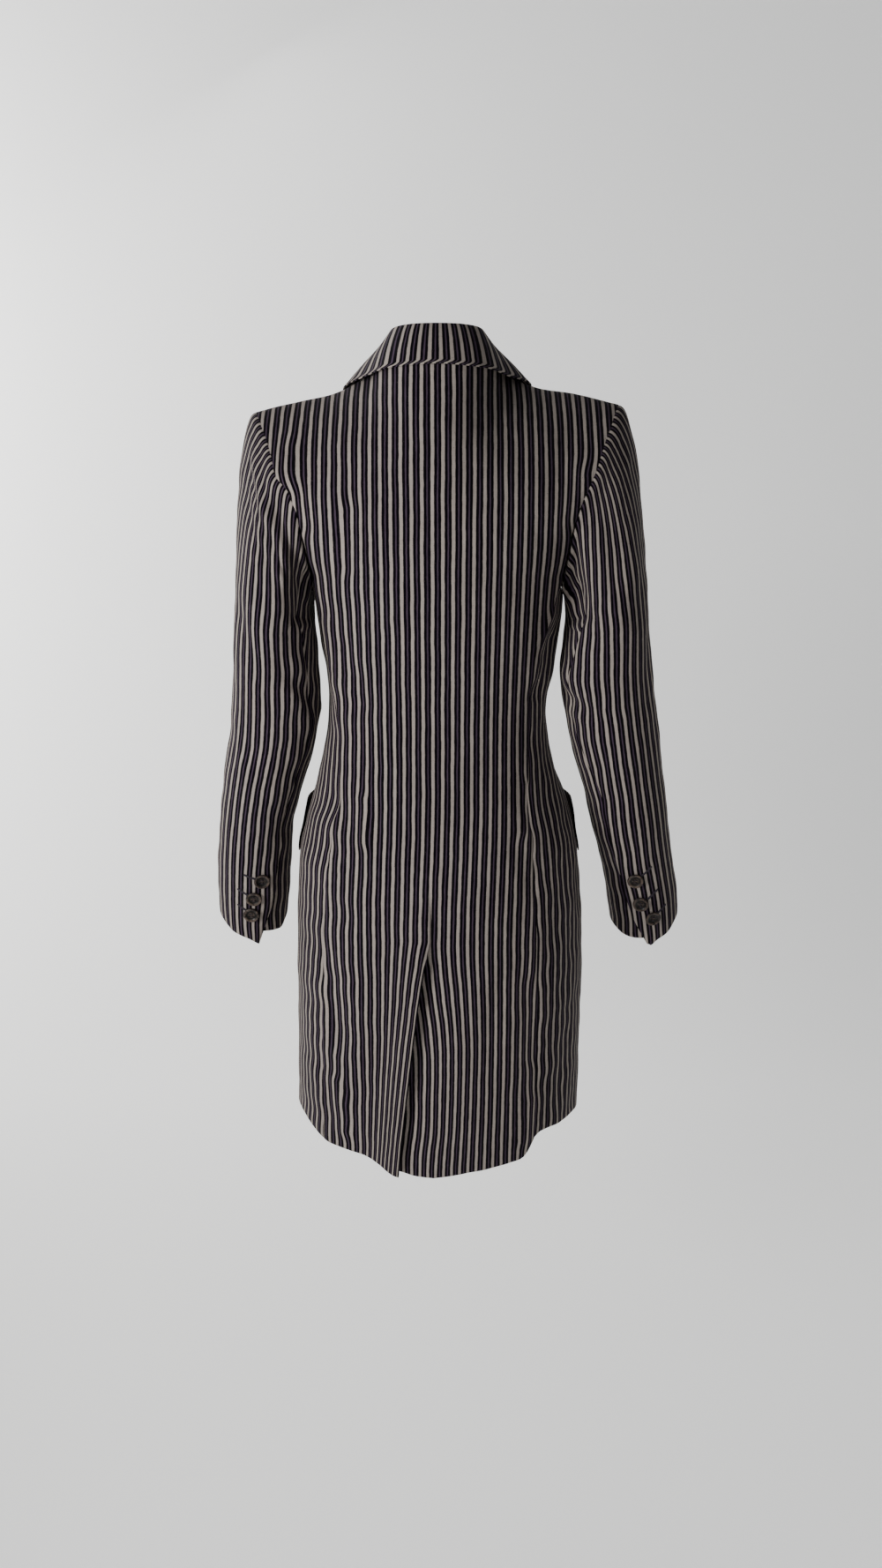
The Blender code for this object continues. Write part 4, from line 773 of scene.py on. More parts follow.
def outward(surface, turn, across, height, step=SURFACE_STEP):
    """The unit direction out of a surface, turn being 1 or -1 to pick the outer face."""
    right = surface(np.minimum(across + step, 1), height) - surface(np.maximum(across - step, 0), height)
    up = surface(across, np.minimum(height + step, 1)) - surface(across, np.maximum(height - step, 0))
    return turn * unit(np.cross(right, up))


def lifted(surface, turn, across, height, lift):
    """Places of a surface moved out of it by a lift."""
    return surface(across, height) + outward(surface, turn, across, height) * np.asarray(lift)[..., None]


def back_lift(side, across, height):
    """The left half passes outside the right one along the vent."""
    level = back_flat(side, across, height)[..., 2]
    opened = ease((VENT_TOP + VENT_LAP_ABOVE - level) / VENT_LAP_FADE)
    near = 1 - ease((across - BACK_LAP_FROM) / BACK_LAP_RUN)
    return side * LAP_LIFT * opened * near


def front_lift(side, across, height):
    """The right front passes outside the left one below the break."""
    near = 1 - ease((across - FRONT_LAP_FROM) / FRONT_LAP_RUN)
    low = 1 - ease((height - FRONT_LAP_TOP) / FRONT_LAP_FADE)
    return -side * LAP_LIFT * near * low


def lapping(side, flat, turn, lift):
    """The middle surface of a panel that laps its other half: lifted where it does, and folded."""

    def own(across, height):
        return flat(side, across, height)

    def surface(across, height):
        return folded(lifted(own, turn, across, height, lift(side, across, height)))

    return surface


def back(side):
    """The middle surface of a back half."""
    return lapping(side, back_flat, -side, back_lift)


def front(side):
    """The middle surface of a front."""
    return lapping(side, front_flat, side, front_lift)


def side_panel(side):
    """The middle surface of a panel under the arm."""
    return lambda across, height: folded(side_flat(side, across, height))


# The sleeves

# The armhole's line: points up each panel, how far inside its edge the way off it is taken, and the share
# of the way under which two points are one.
ARMHOLE_ROWS = 40
LEAVE_STEP = 0.03
SAME_PLACE = 1e-6


def armhole_loop(side):
    """The armhole as a closed line from the shoulder round the back, the underarm and the front, with the
    cloth's outer direction and its direction of running off the edge at each point."""
    bottom = 2 * ARMHOLE_ROWS
    up = np.linspace(UNDER_AT, 1, ARMHOLE_ROWS)[::-1]
    one = np.ones(ARMHOLE_ROWS)
    pieces = []
    for surface, turn, across, height, on_top in (
        (back(side), -side, one, up, False),
        (side_panel(side), -side, np.linspace(0, 1, bottom), np.ones(bottom), True),
        (front(side), side, one, up[::-1], False),
    ):
        points = surface(across, height)
        normals = outward(surface, turn, across, height)
        leaving = normals if on_top else unit(points - surface(across - LEAVE_STEP, height))
        pieces.append((points, normals, leaving))
    points, normals, leaving = (np.concatenate(parts) for parts in zip(*pieces))
    to_bottom = lengths_along(points[: bottom + 1]) / 2
    from_bottom = lengths_along(points[bottom:]) / 2
    share = np.concatenate([to_bottom, 0.5 + from_bottom[1:]])
    keep = np.concatenate([[True], np.diff(share) > SAME_PLACE])
    return share[keep], points[keep], normals[keep], leaving[keep]


# How far above and below a ring its direction is taken, and over how much of the arm the rings come to lean.
RING_STEP = 1e-3
LEAN_RUN = 0.3


def ring(side, down, angle):
    """A ring of the sleeve below its cap, square to the arm. down runs from 0 at the first ring to 1 at the
    cuff."""
    table = SLEEVE_LEFT if side > 0 else SLEEVE_RIGHT
    keys = (table[:, 0] - table[0, 0]) / (table[-1, 0] - table[0, 0])
    level, outer, inner, middle, depth = np.moveaxis(through(keys, table, down), -1, 0)
    centre = np.stack([side * (outer + inner) / 2, middle, level], axis=-1)
    gain = through(keys, table, down + RING_STEP) - through(keys, table, down - RING_STEP)
    lean = ease(down / LEAN_RUN)
    sideways = side * (gain[..., 1] + gain[..., 2]) / 2
    axis = unit(np.stack([sideways * lean, gain[..., 3] * lean, gain[..., 0]], axis=-1))
    wide = np.zeros_like(axis)
    wide[..., 0] = side
    wide = unit(wide - axis * (wide * axis).sum(-1, keepdims=True))
    deep = unit(np.cross(wide, axis)) * side
    deep = deep * np.sign(deep[..., 1:2])
    return (
        centre
        + wide * ((outer - inner) / 2 * np.cos(angle))[..., None]
        + deep * (depth * np.sin(angle))[..., None]
    )


# The armholes' lines, which are worked out once.
LOOPS = {side: armhole_loop(side) for side in (1, -1)}


# The sleeve's seams start beside this height on the back's and the front's edge.
SEAM_START_AT = UNDER_AT + (1 - UNDER_AT) / 9


def seam_starts(side):
    """The angles round the sleeve where its elbow seam and its inner seam start, from the armhole's points
    that are nearest to a place on the back's and on the front's edge."""
    share, points, _, _ = LOOPS[side]
    one = np.ones(1)
    own = np.concatenate([piece(side)(one, one * SEAM_START_AT) for piece in (back, front)])
    nearest = np.linalg.norm(points[None] - own[:, None], axis=-1).argmin(axis=1)
    return 360 * share[nearest]


SEAM_STARTS = {side: seam_starts(side) for side in (1, -1)}

# The cap: how far its way down leans out, how much of its start hangs, then from where on and over how much
# of the way to the inner side it counts as under the arm, and how far it springs out there.
CAP_LEAN = 0.10
CAP_HANG = 0.9
UNDER_ARM_FROM, UNDER_ARM_RUN = 0.40, 0.35
UNDER_ARM_OUT = 0.25


def sleeve_flat(side, angle_degrees, down):
    """The cap springs out of the armhole and turns down to the first ring. The rest follows the rings."""
    share, points, normals, leaving = LOOPS[side]
    turn = np.mod(angle_degrees / 360.0, 1.0)
    edge = between(share, points, turn)
    out = unit(between(share, normals, turn))
    leave = unit(between(share, leaving, turn))
    angle = np.radians(angle_degrees)
    first = ring(side, 0 * down, angle)
    onward = unit(ring(side, 0 * down + RING_STEP, angle) - first)
    away = 0.5 - 0.5 * np.cos(angle)
    hang = np.stack([side * CAP_LEAN + 0 * away, 0 * away, -1 + 0 * away], axis=-1)
    drop = (ease(away) * CAP_HANG)[..., None]
    low = ease((away - UNDER_ARM_FROM) / UNDER_ARM_RUN)[..., None]
    start_way = unit(leave * (1 - drop) + out * UNDER_ARM_OUT * low + hang * drop)
    ease_off = GAP * (1 - low) + TURN_CLEARANCE * 4 * drop * (1 - drop)
    edge = edge + leave * ease_off + out * (WALL + GAP) * low
    span = np.linalg.norm(first - edge, axis=-1)[..., None]
    part = np.clip(down / CAP_AT, 0, 1)[..., None]
    cap = hermite(edge, start_way * span * CAP_SPRING, first, onward * span * CAP_DROP, part)
    lower = ring(side, np.clip((down - CAP_AT) / (1 - CAP_AT), 0, 1), angle)
    return np.where((down <= CAP_AT)[..., None], cap, lower)


def sleeve_span(side, under, across, down):
    """The angle round the sleeve of a point of the upper or under sleeve."""
    elbow_start, inner_start = SEAM_STARTS[side]
    settled = 1 - ease(down / CAP_AT)
    elbow_seam = ELBOW_SEAM_LEFT if side > 0 else ELBOW_SEAM_RIGHT
    elbow = through(ELBOW_SEAM_AT, elbow_seam, down) + (elbow_start - elbow_seam[0]) * settled
    inner = through(INNER_SEAM_AT, INNER_SEAM, down) + (inner_start - INNER_SEAM[0]) * settled
    open_share = ease((down - CUFF_VENT_AT) / CUFF_VENT_RUN)
    if under:
        start = elbow - CUFF_UNDERLAP_DEG * open_share
        return start + (inner - start) * across
    start = inner - 360
    end = elbow + CUFF_OVERLAP_DEG * open_share
    return start + (end - start) * across


def cuffed(side, under, angle_degrees, down):
    """The place down the sleeve, drawn up near the cuff so that the last row lies on the cuff's edge."""
    if under:
        edge = through(UNDER_CUFF_ANGLE, UNDER_CUFF_LEFT if side > 0 else UNDER_CUFF_RIGHT, angle_degrees)
    else:
        edge = through(UPPER_CUFF_ANGLE, UPPER_CUFF_LEFT if side > 0 else UPPER_CUFF_RIGHT, angle_degrees)
    return down * (1 + (edge - 1) * ease((down - CUFF_EDGE_FROM) / (1 - CUFF_EDGE_FROM)))


def sleeve_folded(side, angle_degrees, down, points):
    """Moves points of a sleeve in or out by its folds, which fade towards the armhole and the cuff."""
    metres = np.array([SLEEVE_METRES_PER_DEGREE, SLEEVE_LENGTH] * 2 + [1.0, 1.0])
    rows = [row[1:] * metres for row in SLEEVE_FOLDS + FINE_SLEEVE_FOLDS if row[0] == side]
    around = np.mod(angle_degrees, 360) * SLEEVE_METRES_PER_DEGREE
    shown = ease(down / FOLDS_RUN) * (1 - ease((down - FOLDS_TO) / FOLDS_TO_RUN))
    height = fold_height(rows, around, down * SLEEVE_LENGTH) * shown
    angle = np.radians(angle_degrees)
    way = np.stack([side * np.cos(angle), np.sin(angle), 0 * angle], axis=-1)
    height = height + crumple(points) * ease(down / FOLDS_RUN)
    return points + way * height[..., None]


def sleeve(side, under):
    """The middle surface of an upper or under sleeve: lifted where the one laps the other at the cuff's vent,
    and folded."""

    def flat(across, down):
        angle_degrees = sleeve_span(side, under, across, down)
        return sleeve_flat(side, angle_degrees, cuffed(side, under, angle_degrees, down))

    def surface(across, down):
        opened = ease((down - CUFF_VENT_AT + CUFF_LAP_ABOVE) / CUFF_LAP_FADE)
        if under:
            lift = -CUFF_LAP_LIFT * opened * (1 - ease(across / UNDER_LAP_RUN))
        else:
            lift = CUFF_LAP_LIFT * opened * ease((across - UPPER_LAP_FROM) / (1 - UPPER_LAP_FROM))
        points = lifted(flat, -side, across, down, lift)
        return sleeve_folded(side, sleeve_span(side, under, across, down), down, points)

    return surface


# The collar. One row per station from the centre back to the front end: share of the way, then the seam with
# the neck, the fold and the free edge of the fall, each as a point.
COLLAR_AT = np.array([0.0, 0.16, 0.28, 0.42, 0.55, 0.77, 1.0])
COLLAR_SEAM = np.array(
    [
        (0.0000, 0.0848, 0.0297),
        (0.0300, 0.0793, 0.0297),
        (0.0478, 0.0625, 0.0289),
        (0.0607, 0.0335, 0.0258),
        (0.0664, 0.0000, 0.0206),
        (0.0612, -0.0340, 0.0042),
        (0.0530, -0.0632, -0.0198),
    ]
)
COLLAR_FOLD = np.array(
    [
        (0.0000, 0.0750, 0.0560),
        (0.0260, 0.0690, 0.0556),
        (0.0410, 0.0520, 0.0545),
        (0.0480, 0.0270, 0.0510),
        (0.0515, 0.0000, 0.0450),
        (0.0585, -0.0350, 0.0230),
        (0.0530, -0.0640, -0.0130),
    ]
)
COLLAR_EDGE = np.array(
    [
        (0.0000, 0.0945, 0.0210),
        (0.0340, 0.0865, 0.0190),
        (0.0530, 0.0690, 0.0172),
        (0.0730, 0.0350, 0.0118),
        (0.0955, 0.0000, 0.0048),
        (0.1000, -0.0340, -0.0080),
        (0.0990, -0.0620, -0.0295),
    ]
)
# The fold's radius and the share of it that is lost towards the front ends, how far the fall bulges out and
# up, and the places of the profile where the section's seven stops lie.
FOLD_RADIUS = 0.0021
FOLD_RADIUS_LESS = 0.25
FALL_BULGE = 0.0014
COLLAR_PLACES = np.array([0.0, 0.18, 0.36, 0.42, 0.48, 0.74, 1.0])


def collar(around, profile):
    """around runs from -1 at the wearer's right front to 1 at the left. profile runs from the neck seam up
    the stand, over the fold and down the fall, as a smooth curve through seven stops of the section."""
    keys = np.concatenate([-COLLAR_AT[:0:-1], COLLAR_AT])

    def both(table):
        other = placed(table[:0:-1], -1)
        return through(keys, np.concatenate([other, table]), around)

    seam, fold, edge = both(COLLAR_SEAM), both(COLLAR_FOLD), both(COLLAR_EDGE)
    away = edge - seam
    away[..., 2] = 0
    away = unit(away)
    up = np.array([0.0, 0.0, 1.0]) + 0 * away
    radius = FOLD_RADIUS * (1 - FOLD_RADIUS_LESS * np.abs(around))[..., None]
    stand_top, fall_start = fold - away * radius, fold + away * radius
    on_stand = (seam + stand_top) / 2
    on_fall = (fall_start + edge) / 2 + (away + up) * FALL_BULGE
    stops = np.stack([seam, on_stand, stand_top, fold + up * radius, fall_start, on_fall, edge], axis=-2)
    slopes = np.gradient(stops, COLLAR_PLACES, axis=-2)
    low = np.clip(np.searchsorted(COLLAR_PLACES, profile, side="right") - 1, 0, len(COLLAR_PLACES) - 2)
    step = (COLLAR_PLACES[low + 1] - COLLAR_PLACES[low])[..., None]
    part = (profile - COLLAR_PLACES[low])[..., None] / step

    def pick(table, index):
        return np.take_along_axis(table, index[..., None, None], axis=-2)[..., 0, :]

    leave = pick(slopes, low) * step
    arrive = pick(slopes, low + 1) * step
    return hermite(pick(stops, low), leave, pick(stops, low + 1), arrive, part)


# The lapels, on the fronts: height up the front, width of the lapel. Then the height of the top edge at the
# roll line and at the outer edge, and that of the left lapel's foot.
LAPEL_HEIGHT, LAPEL_WIDTH = np.array(
    [(0.645, 0.008), (0.68, 0.026), (0.72, 0.043), (0.78, 0.060), (0.84, 0.070), (0.895, 0.075)]
).T
LAPEL_TOP_INNER = 0.912
LAPEL_TOP_OUTER = 0.893
LEFT_LAPEL_FOOT = 0.682
# The first columns, round the roll line: distance onto the front, and lift off it. The left lapel has them
# from this height up.
ROLL_DISTANCE = np.array([-0.0014, -0.0026, -0.0014, 0.0020])
ROLL_LIFT = np.array([0.0001, 0.0014, 0.0028, 0.0032])
ROLL_FREE_HEIGHT = 0.712
# Where the rest of a lapel starts, its lift off the front, how much more of that it has at the roll line,
# and how far past the right front's edge the left lapel comes out.
LAPEL_START = 0.0040
LAPEL_LIFT = 0.0023
LAPEL_SPRING = 0.0012
LAPEL_CLEAR = 0.0060
# The left lapel rolls over this much height. Below it, its first columns lie this far apart.
ROLL_FREE_RUN = 0.02
FREE_COLUMN_STEP = 0.0012
# A row's length against the straight line across the front, and the share of it that gives its first way.
ROW_OVER_STRAIGHT = 1.03
FIRST_WAY_STEP = 0.02


def lapel(side, columns, rows):
    """The turned-back lapel as a grid: it starts past the roll line, folds over it and lies on its front."""
    surface = front(side)
    foot = LEFT_LAPEL_FOOT if side > 0 else LAPEL_HEIGHT[0]
    roll_count = len(ROLL_DISTANCE)
    column = np.arange(columns + roll_count - 1)
    on_roll = column < roll_count
    wide = np.where(on_roll, 0.0, (column - roll_count + 1) / (columns - 1))
    across, share = np.meshgrid(wide, np.linspace(0, 1, rows))
    height = foot + (LAPEL_TOP_INNER + (LAPEL_TOP_OUTER - LAPEL_TOP_INNER) * across - foot) * share
    width = through(LAPEL_HEIGHT, LAPEL_WIDTH, height)
    edge = surface(0 * height, height)
    # The left lapel comes out from under the right front, so low down it starts past that front's edge.
    past = np.maximum(0, -2 * edge[..., 0] + LAPEL_CLEAR) if side > 0 else 0 * height
    rolled = ease((height - ROLL_FREE_HEIGHT) / ROLL_FREE_RUN) if side > 0 else 0 * height + 1
    flat_lift = LAPEL_LIFT + LAPEL_SPRING * (1 - across)
    number = np.minimum(column, roll_count - 1)
    roll_distance = past + ROLL_DISTANCE[number] * rolled + (1 - rolled) * FREE_COLUMN_STEP * number
    roll_lift = ROLL_LIFT[number] * rolled + flat_lift * (1 - rolled)
    distance = np.where(on_roll, roll_distance, past + LAPEL_START + (width - past - LAPEL_START) * across)
    lift = np.where(on_roll, roll_lift, flat_lift)
    row_length = np.linalg.norm(surface(0 * height + 1, height) - edge, axis=-1) * ROW_OVER_STRAIGHT
    at = np.maximum(distance, 0) / row_length
    edge_way = unit(surface(0 * height + FIRST_WAY_STEP, height) - edge)
    out = outward(surface, side, at, height)
    return surface(at, height) + np.minimum(distance, 0)[..., None] * edge_way + lift[..., None] * out


# The pocket flaps, on the hips: rear and front end as angles from the back, top and bottom edge. Then their
# lift off the hip, how far and over which share across the rear end gapes, and the height and share of the
# corners.
FLAP_REAR = 86.0
FLAP_FRONT = 131.0
FLAP_TOP = -0.455
FLAP_BOTTOM = -0.520
FLAP_LIFT = {1: 0.0026, -1: 0.0022}
FLAP_GAPE = {1: 0.0022, -1: 0.0032}
FLAP_GAPE_WIDTH = 0.35
FLAP_CORNER = 0.010
FLAP_CORNER_SHARE = 0.10


def flap(side):
    """The flap lies on its hip. At its rear end its top edge gapes a little."""

    def surface(across, height):
        angle = side * np.radians(FLAP_REAR + (FLAP_FRONT - FLAP_REAR) * across)
        rear_corner = np.clip(1 - across / FLAP_CORNER_SHARE, 0, 1) ** 2
        front_corner = np.clip(1 - (1 - across) / FLAP_CORNER_SHARE, 0, 1) ** 2
        bottom = FLAP_BOTTOM + FLAP_CORNER * (rear_corner + front_corner)
        return folded(body(angle, bottom + (FLAP_TOP - bottom) * height))

    def gaping(across, height):
        lift = FLAP_LIFT[side] + FLAP_GAPE[side] * bell(across, FLAP_GAPE_WIDTH) * height**2
        return lifted(surface, -side, across, height, lift)

    return gaping


# The buttons: radii on the cuffs and on the front, and thickness.
CUFF_BUTTON_RADIUS = 0.0096
FRONT_BUTTON_RADIUS = 0.0110
BUTTON_THICKNESS = 0.0030

# Buttons on the cuffs: angle round the sleeve, place down the sleeve. On the front: level, gap under the
# button.
CUFF_BUTTONS = {
    1: ((109.0, 0.840), (98.0, 0.885), (95.0, 0.930)),
    -1: ((101.5, 0.835), (99.0, 0.895), (83.5, 0.935)),
}
FRONT_BUTTONS = ((-0.290, 0.0003), (-0.385, 0.0009), (-0.480, 0.0003))
# The gap under the others, and how far to both sides a seat's direction is taken.
SEAT_GAP = 0.0003
SEAT_STEP = 4e-3


def seat_on(surface, turn, across, height, gap=SEAT_GAP):
    """The middle of a button's seat and the direction out of the cloth there. It lies half a wall and the gap
    off the middle surface."""
    across, height = np.array(across), np.array(height)
    out = outward(surface, turn, across, height, SEAT_STEP)
    return surface(across, height) + out * (WALL / 2 + gap), out


# The looks of the cloth

# How thick the cloth is drawn, in general and doubled, as in lapels and flaps, and in the collar.
CLOTH = 0.0011
DOUBLE_CLOTH = 0.0014
COLLAR_CLOTH = 0.0016

# Its grid: the step, the closer rows beside an edge with a seam, and the distance that the plain rows keep
# from such an edge, in times the last closer row's.
FINE = 0.0036
EDGE_STEPS = np.array([0.0011, 0.0024, 0.0042])
EDGE_CLEAR = 1.25

# About how long the pieces are across and along, in metres, which sets their number of columns and rows.
BACK_WIDE, FRONT_WIDE, SIDE_WIDE = 0.14, 0.20, 0.14
BELOW_UNDERARM, ABOVE_UNDERARM = 0.68, 0.23
UPPER_WIDE, UNDER_WIDE = 0.22, 0.11
CAP_LONG, ARM_LONG = 0.24, 0.39
FLAP_WIDE, FLAP_HIGH = 0.145, 0.065

# A seam: the outer face dips into it and rises over the allowance that lies beside it.
SEAM_DIP = 0.0006
SEAM_DIP_WIDTH = 0.0014
ALLOWANCE_RISE = 0.0003
ALLOWANCE_AT = 0.0065
ALLOWANCE_WIDTH = 0.0035

# How far the middle line of an edge stands out, in thicknesses.
EDGE_ROLL = 0.35

# The finished pieces, by the node that each stands for.
PIECES = {}


def fine_spread(length, first=False, last=False):
    """Places from 0 to 1 along a length, one grid step apart, with three closer ones at an edge with a
    seam."""
    places = np.linspace(0, 1, max(3, int(round(length / FINE))))
    near = EDGE_STEPS / length
    keep = np.ones(len(places), bool)
    if first:
        keep &= (places > near[-1] * EDGE_CLEAR) | (places == 0)
    if last:
        keep &= (places < 1 - near[-1] * EDGE_CLEAR) | (places == 1)
    parts = [places[keep]] + ([near] if first else []) + ([1 - near] if last else [])
    return np.unique(np.concatenate(parts))


def running(points, axis):
    """The length gone along each row or column of a grid of points: the sum of the steps so far."""
    steps = np.linalg.norm(np.diff(points, axis=axis), axis=-1)
    start = np.zeros_like(np.take(steps, [0], axis=axis))
    return np.cumsum(np.concatenate([start, steps], axis=axis), axis=axis)


def smooth_normals(points, turn):
    """The outward directions of a grid of points: the cross product of its two central differences."""
    return turn * unit(np.cross(np.gradient(points, axis=1), np.gradient(points, axis=0)))


def seam_profile(away):
    """How far the outer face moves at a distance from a seam: one bell curve down into the seam and one up
    over its allowance."""
    rise = ALLOWANCE_RISE * bell(away - ALLOWANCE_AT, ALLOWANCE_WIDTH)
    return rise - SEAM_DIP * bell(away, SEAM_DIP_WIDTH)


def grid_quads(index):
    """The four-cornered faces between the rows and columns of a grid of point numbers."""
    return np.stack([index[:-1, :-1], index[:-1, 1:], index[1:, 1:], index[1:, :-1]], axis=-1).reshape(-1, 4)


def ring_index(rows, columns):
    """The point numbers of a stack of rings, each with its first point again at its end."""
    index = np.arange(rows * columns).reshape(rows, columns)
    return np.hstack([index, index[:, :1]])


def put_in_scene(name, data):
    """An object that holds a mesh, a lamp or a camera, linked to the scene."""
    made = bpy.data.objects.new(name, data)
    bpy.context.scene.collection.objects.link(made)
    return made


def smooth_mesh(name, points, faces, look):
    """A smooth mesh of points and faces in one material."""
    mesh = bpy.data.meshes.new(name)
    mesh.from_pydata(points.reshape(-1, 3).tolist(), [], faces.tolist())
    mesh.update()
    mesh.materials.append(look)
    mesh.polygons.foreach_set("use_smooth", np.ones(len(mesh.polygons), bool))
    return mesh


def jacket_piece(name, points, faces, look, uv=None):
    """A mesh that rides on the one body. Its UV map is in metres of cloth."""
    mesh = smooth_mesh(name, points, faces, look)
    if uv is not None:
        corner = np.empty(len(mesh.loops), np.int32)
        mesh.loops.foreach_get("vertex_index", corner)
        layer = mesh.uv_layers.new(name="cloth")
        layer.data.foreach_set("uv", uv[corner].astype(np.float32).ravel())
    made = put_in_scene(name, mesh)
    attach(made, "root")
    return made


def cloth_piece(node, points, turn, u, v, seams=(), thickness=CLOTH):
    """The closed shell that stands for a node: an outer and an inner face half the thickness off a grid of
    middle points, joined by a rim whose middle line stands out, so that every edge is round like a turned
    edge. The outer face also follows the profile of its seams. u and v are the points' places on the flat
    cloth."""
    normals = smooth_normals(points, turn)
    across, down = running(points, 1), running(points, 0)
    from_edge = {"first": across, "last": across[:, -1:] - across, "bottom": down, "top": down[-1:] - down}
    lift = np.zeros(across.shape)
    for edge in seams:
        lift = lift + seam_profile(from_edge[edge])
    outer = points + normals * (thickness / 2 + lift)[..., None]
    inner = points - normals * (thickness / 2)
    count = across.size
    index = np.arange(count).reshape(across.shape)
    quads = grid_quads(index)
    rim = np.concatenate([index[0], index[1:, -1], index[-1, -2::-1], index[-2:0:-1, 0]])
    inward = np.zeros_like(points)
    inward[:, 0] += unit(points[:, 1] - points[:, 0])
    inward[:, -1] += unit(points[:, -2] - points[:, -1])
    inward[0] += unit(points[1] - points[0])
    inward[-1] += unit(points[-2] - points[-1])
    edge = points.reshape(-1, 3)[rim] - unit(inward.reshape(-1, 3)[rim]) * thickness * EDGE_ROLL
    here = 2 * count + np.arange(len(rim))
    there = np.roll(here, -1)
    next_rim = np.roll(rim, -1)
    outer_rim = np.stack([next_rim, rim, here, there], axis=-1)
    inner_rim = np.stack([there, here, rim + count, next_rim + count], axis=-1)
    faces = np.concatenate([quads, quads[:, ::-1] + count, outer_rim, inner_rim])
    if turn < 0:
        faces = faces[:, ::-1]
    uv = np.stack([u, v], axis=-1).reshape(-1, 2)
    uv = np.concatenate([uv, uv, uv[rim]])
    points = np.concatenate([outer.reshape(-1, 3), inner.reshape(-1, 3), edge])
    PIECES[node] = jacket_piece(node + "_cloth", points, faces, LINEN, uv)


# Materials


def linear(code):
    """An sRGB hex code as linear red, green, blue and alpha: a share near black, and a power of 2.4 above."""
    parts = [int(code[i : i + 2], 16) / 255 for i in (0, 2, 4)]
    return [p / 12.92 if p <= 0.04045 else ((p + 0.055) / 1.055) ** 2.4 for p in parts] + [1.0]


def add_node(tree, kind, links=None, **settings):
    """One shader node, its settings by name. An input takes a value, another node's output, or a node, which
    stands for its first output."""
    made = tree.nodes.new(kind)
    for name, value in settings.items():
        setattr(made, name, value)
    for name, source in (links or {}).items():
        if hasattr(source, "outputs"):
            source = source.outputs[0]
        if hasattr(source, "node"):
            tree.links.new(source, made.inputs[name])
        else:
            made.inputs[name].default_value = source
    return made


def set_stops(ramp, stops):
    """Gives a colour ramp its places and colours."""
    elements = ramp.color_ramp.elements
    while len(elements) < len(stops):
        elements.new(0.5)
    for element, (position, colour) in zip(elements, stops):
        element.position = position
        element.color = colour


def new_look(name, finish):
    """A material with one Principled shader, whose finish gives sockets by name their values."""
    look = bpy.data.materials.new(name)
    look.use_nodes = True
    tree = look.node_tree
    shader = tree.nodes["Principled BSDF"]
    for socket, value in finish.items():
        shader.inputs[socket].default_value = value
    return look, tree, shader


# The stripe, measured across: one repeat and how far it is shifted, then half the pale stripe, the thin
# line's two edges and the softness of every edge as shares of the repeat, and the yarns' colours.
STRIPE_PERIOD = 0.0105
STRIPE_PHASE = 0.0039
LIGHT_HALF = 0.164
LINE_FROM = 0.432
LINE_TO = 0.566
STRIPE_SOFT = 0.020
YARN_LIGHT = "9a9089"
YARN_DARK = "050207"
YARN_LINE = "463a48"
YARN_FLECK = "3a2f33"

# The patterns' sizes are in millimetres. Real yarns are about 0.3 mm thick, too fine to show here, so a
# wave of the weave is drawn 0.526 mm long and an uneven yarn 0.667 mm wide. Each pattern of the yarns has
# its size across and along the stripes, its detail, and a depth that keeps it apart from the others.
MM_A_METRE = 1000.0
WEAVE_WAVE = 0.52632
YARN_PATTERNS = {
    "wander": (2.0, 11.111, 2.0, 0.0),
    "slub": (0.66667, 22.222, 3.0, 3.0),
    "weft": (16.667, 0.66667, 3.0, 7.0),
    "patch": (71.43, 111.11, 3.0, 11.0),
    "fleck": (0.90909, 1.42857, 1.0, 19.0),
}
WANDER = 0.0010
SLUB_TONE, WEFT_TONE, LEAST_TONE = 0.495, 0.405, 0.55
PATCH_TONE, PATCH_LEAST = 0.24, 0.88
FLECK_FROM, FLECK_TO, FLECK_SHARE = 0.66, 0.74, 0.75
WEAVE_HEIGHT = 0.25
GRAIN_STRENGTH, GRAIN_DISTANCE = 0.35, 0.00035


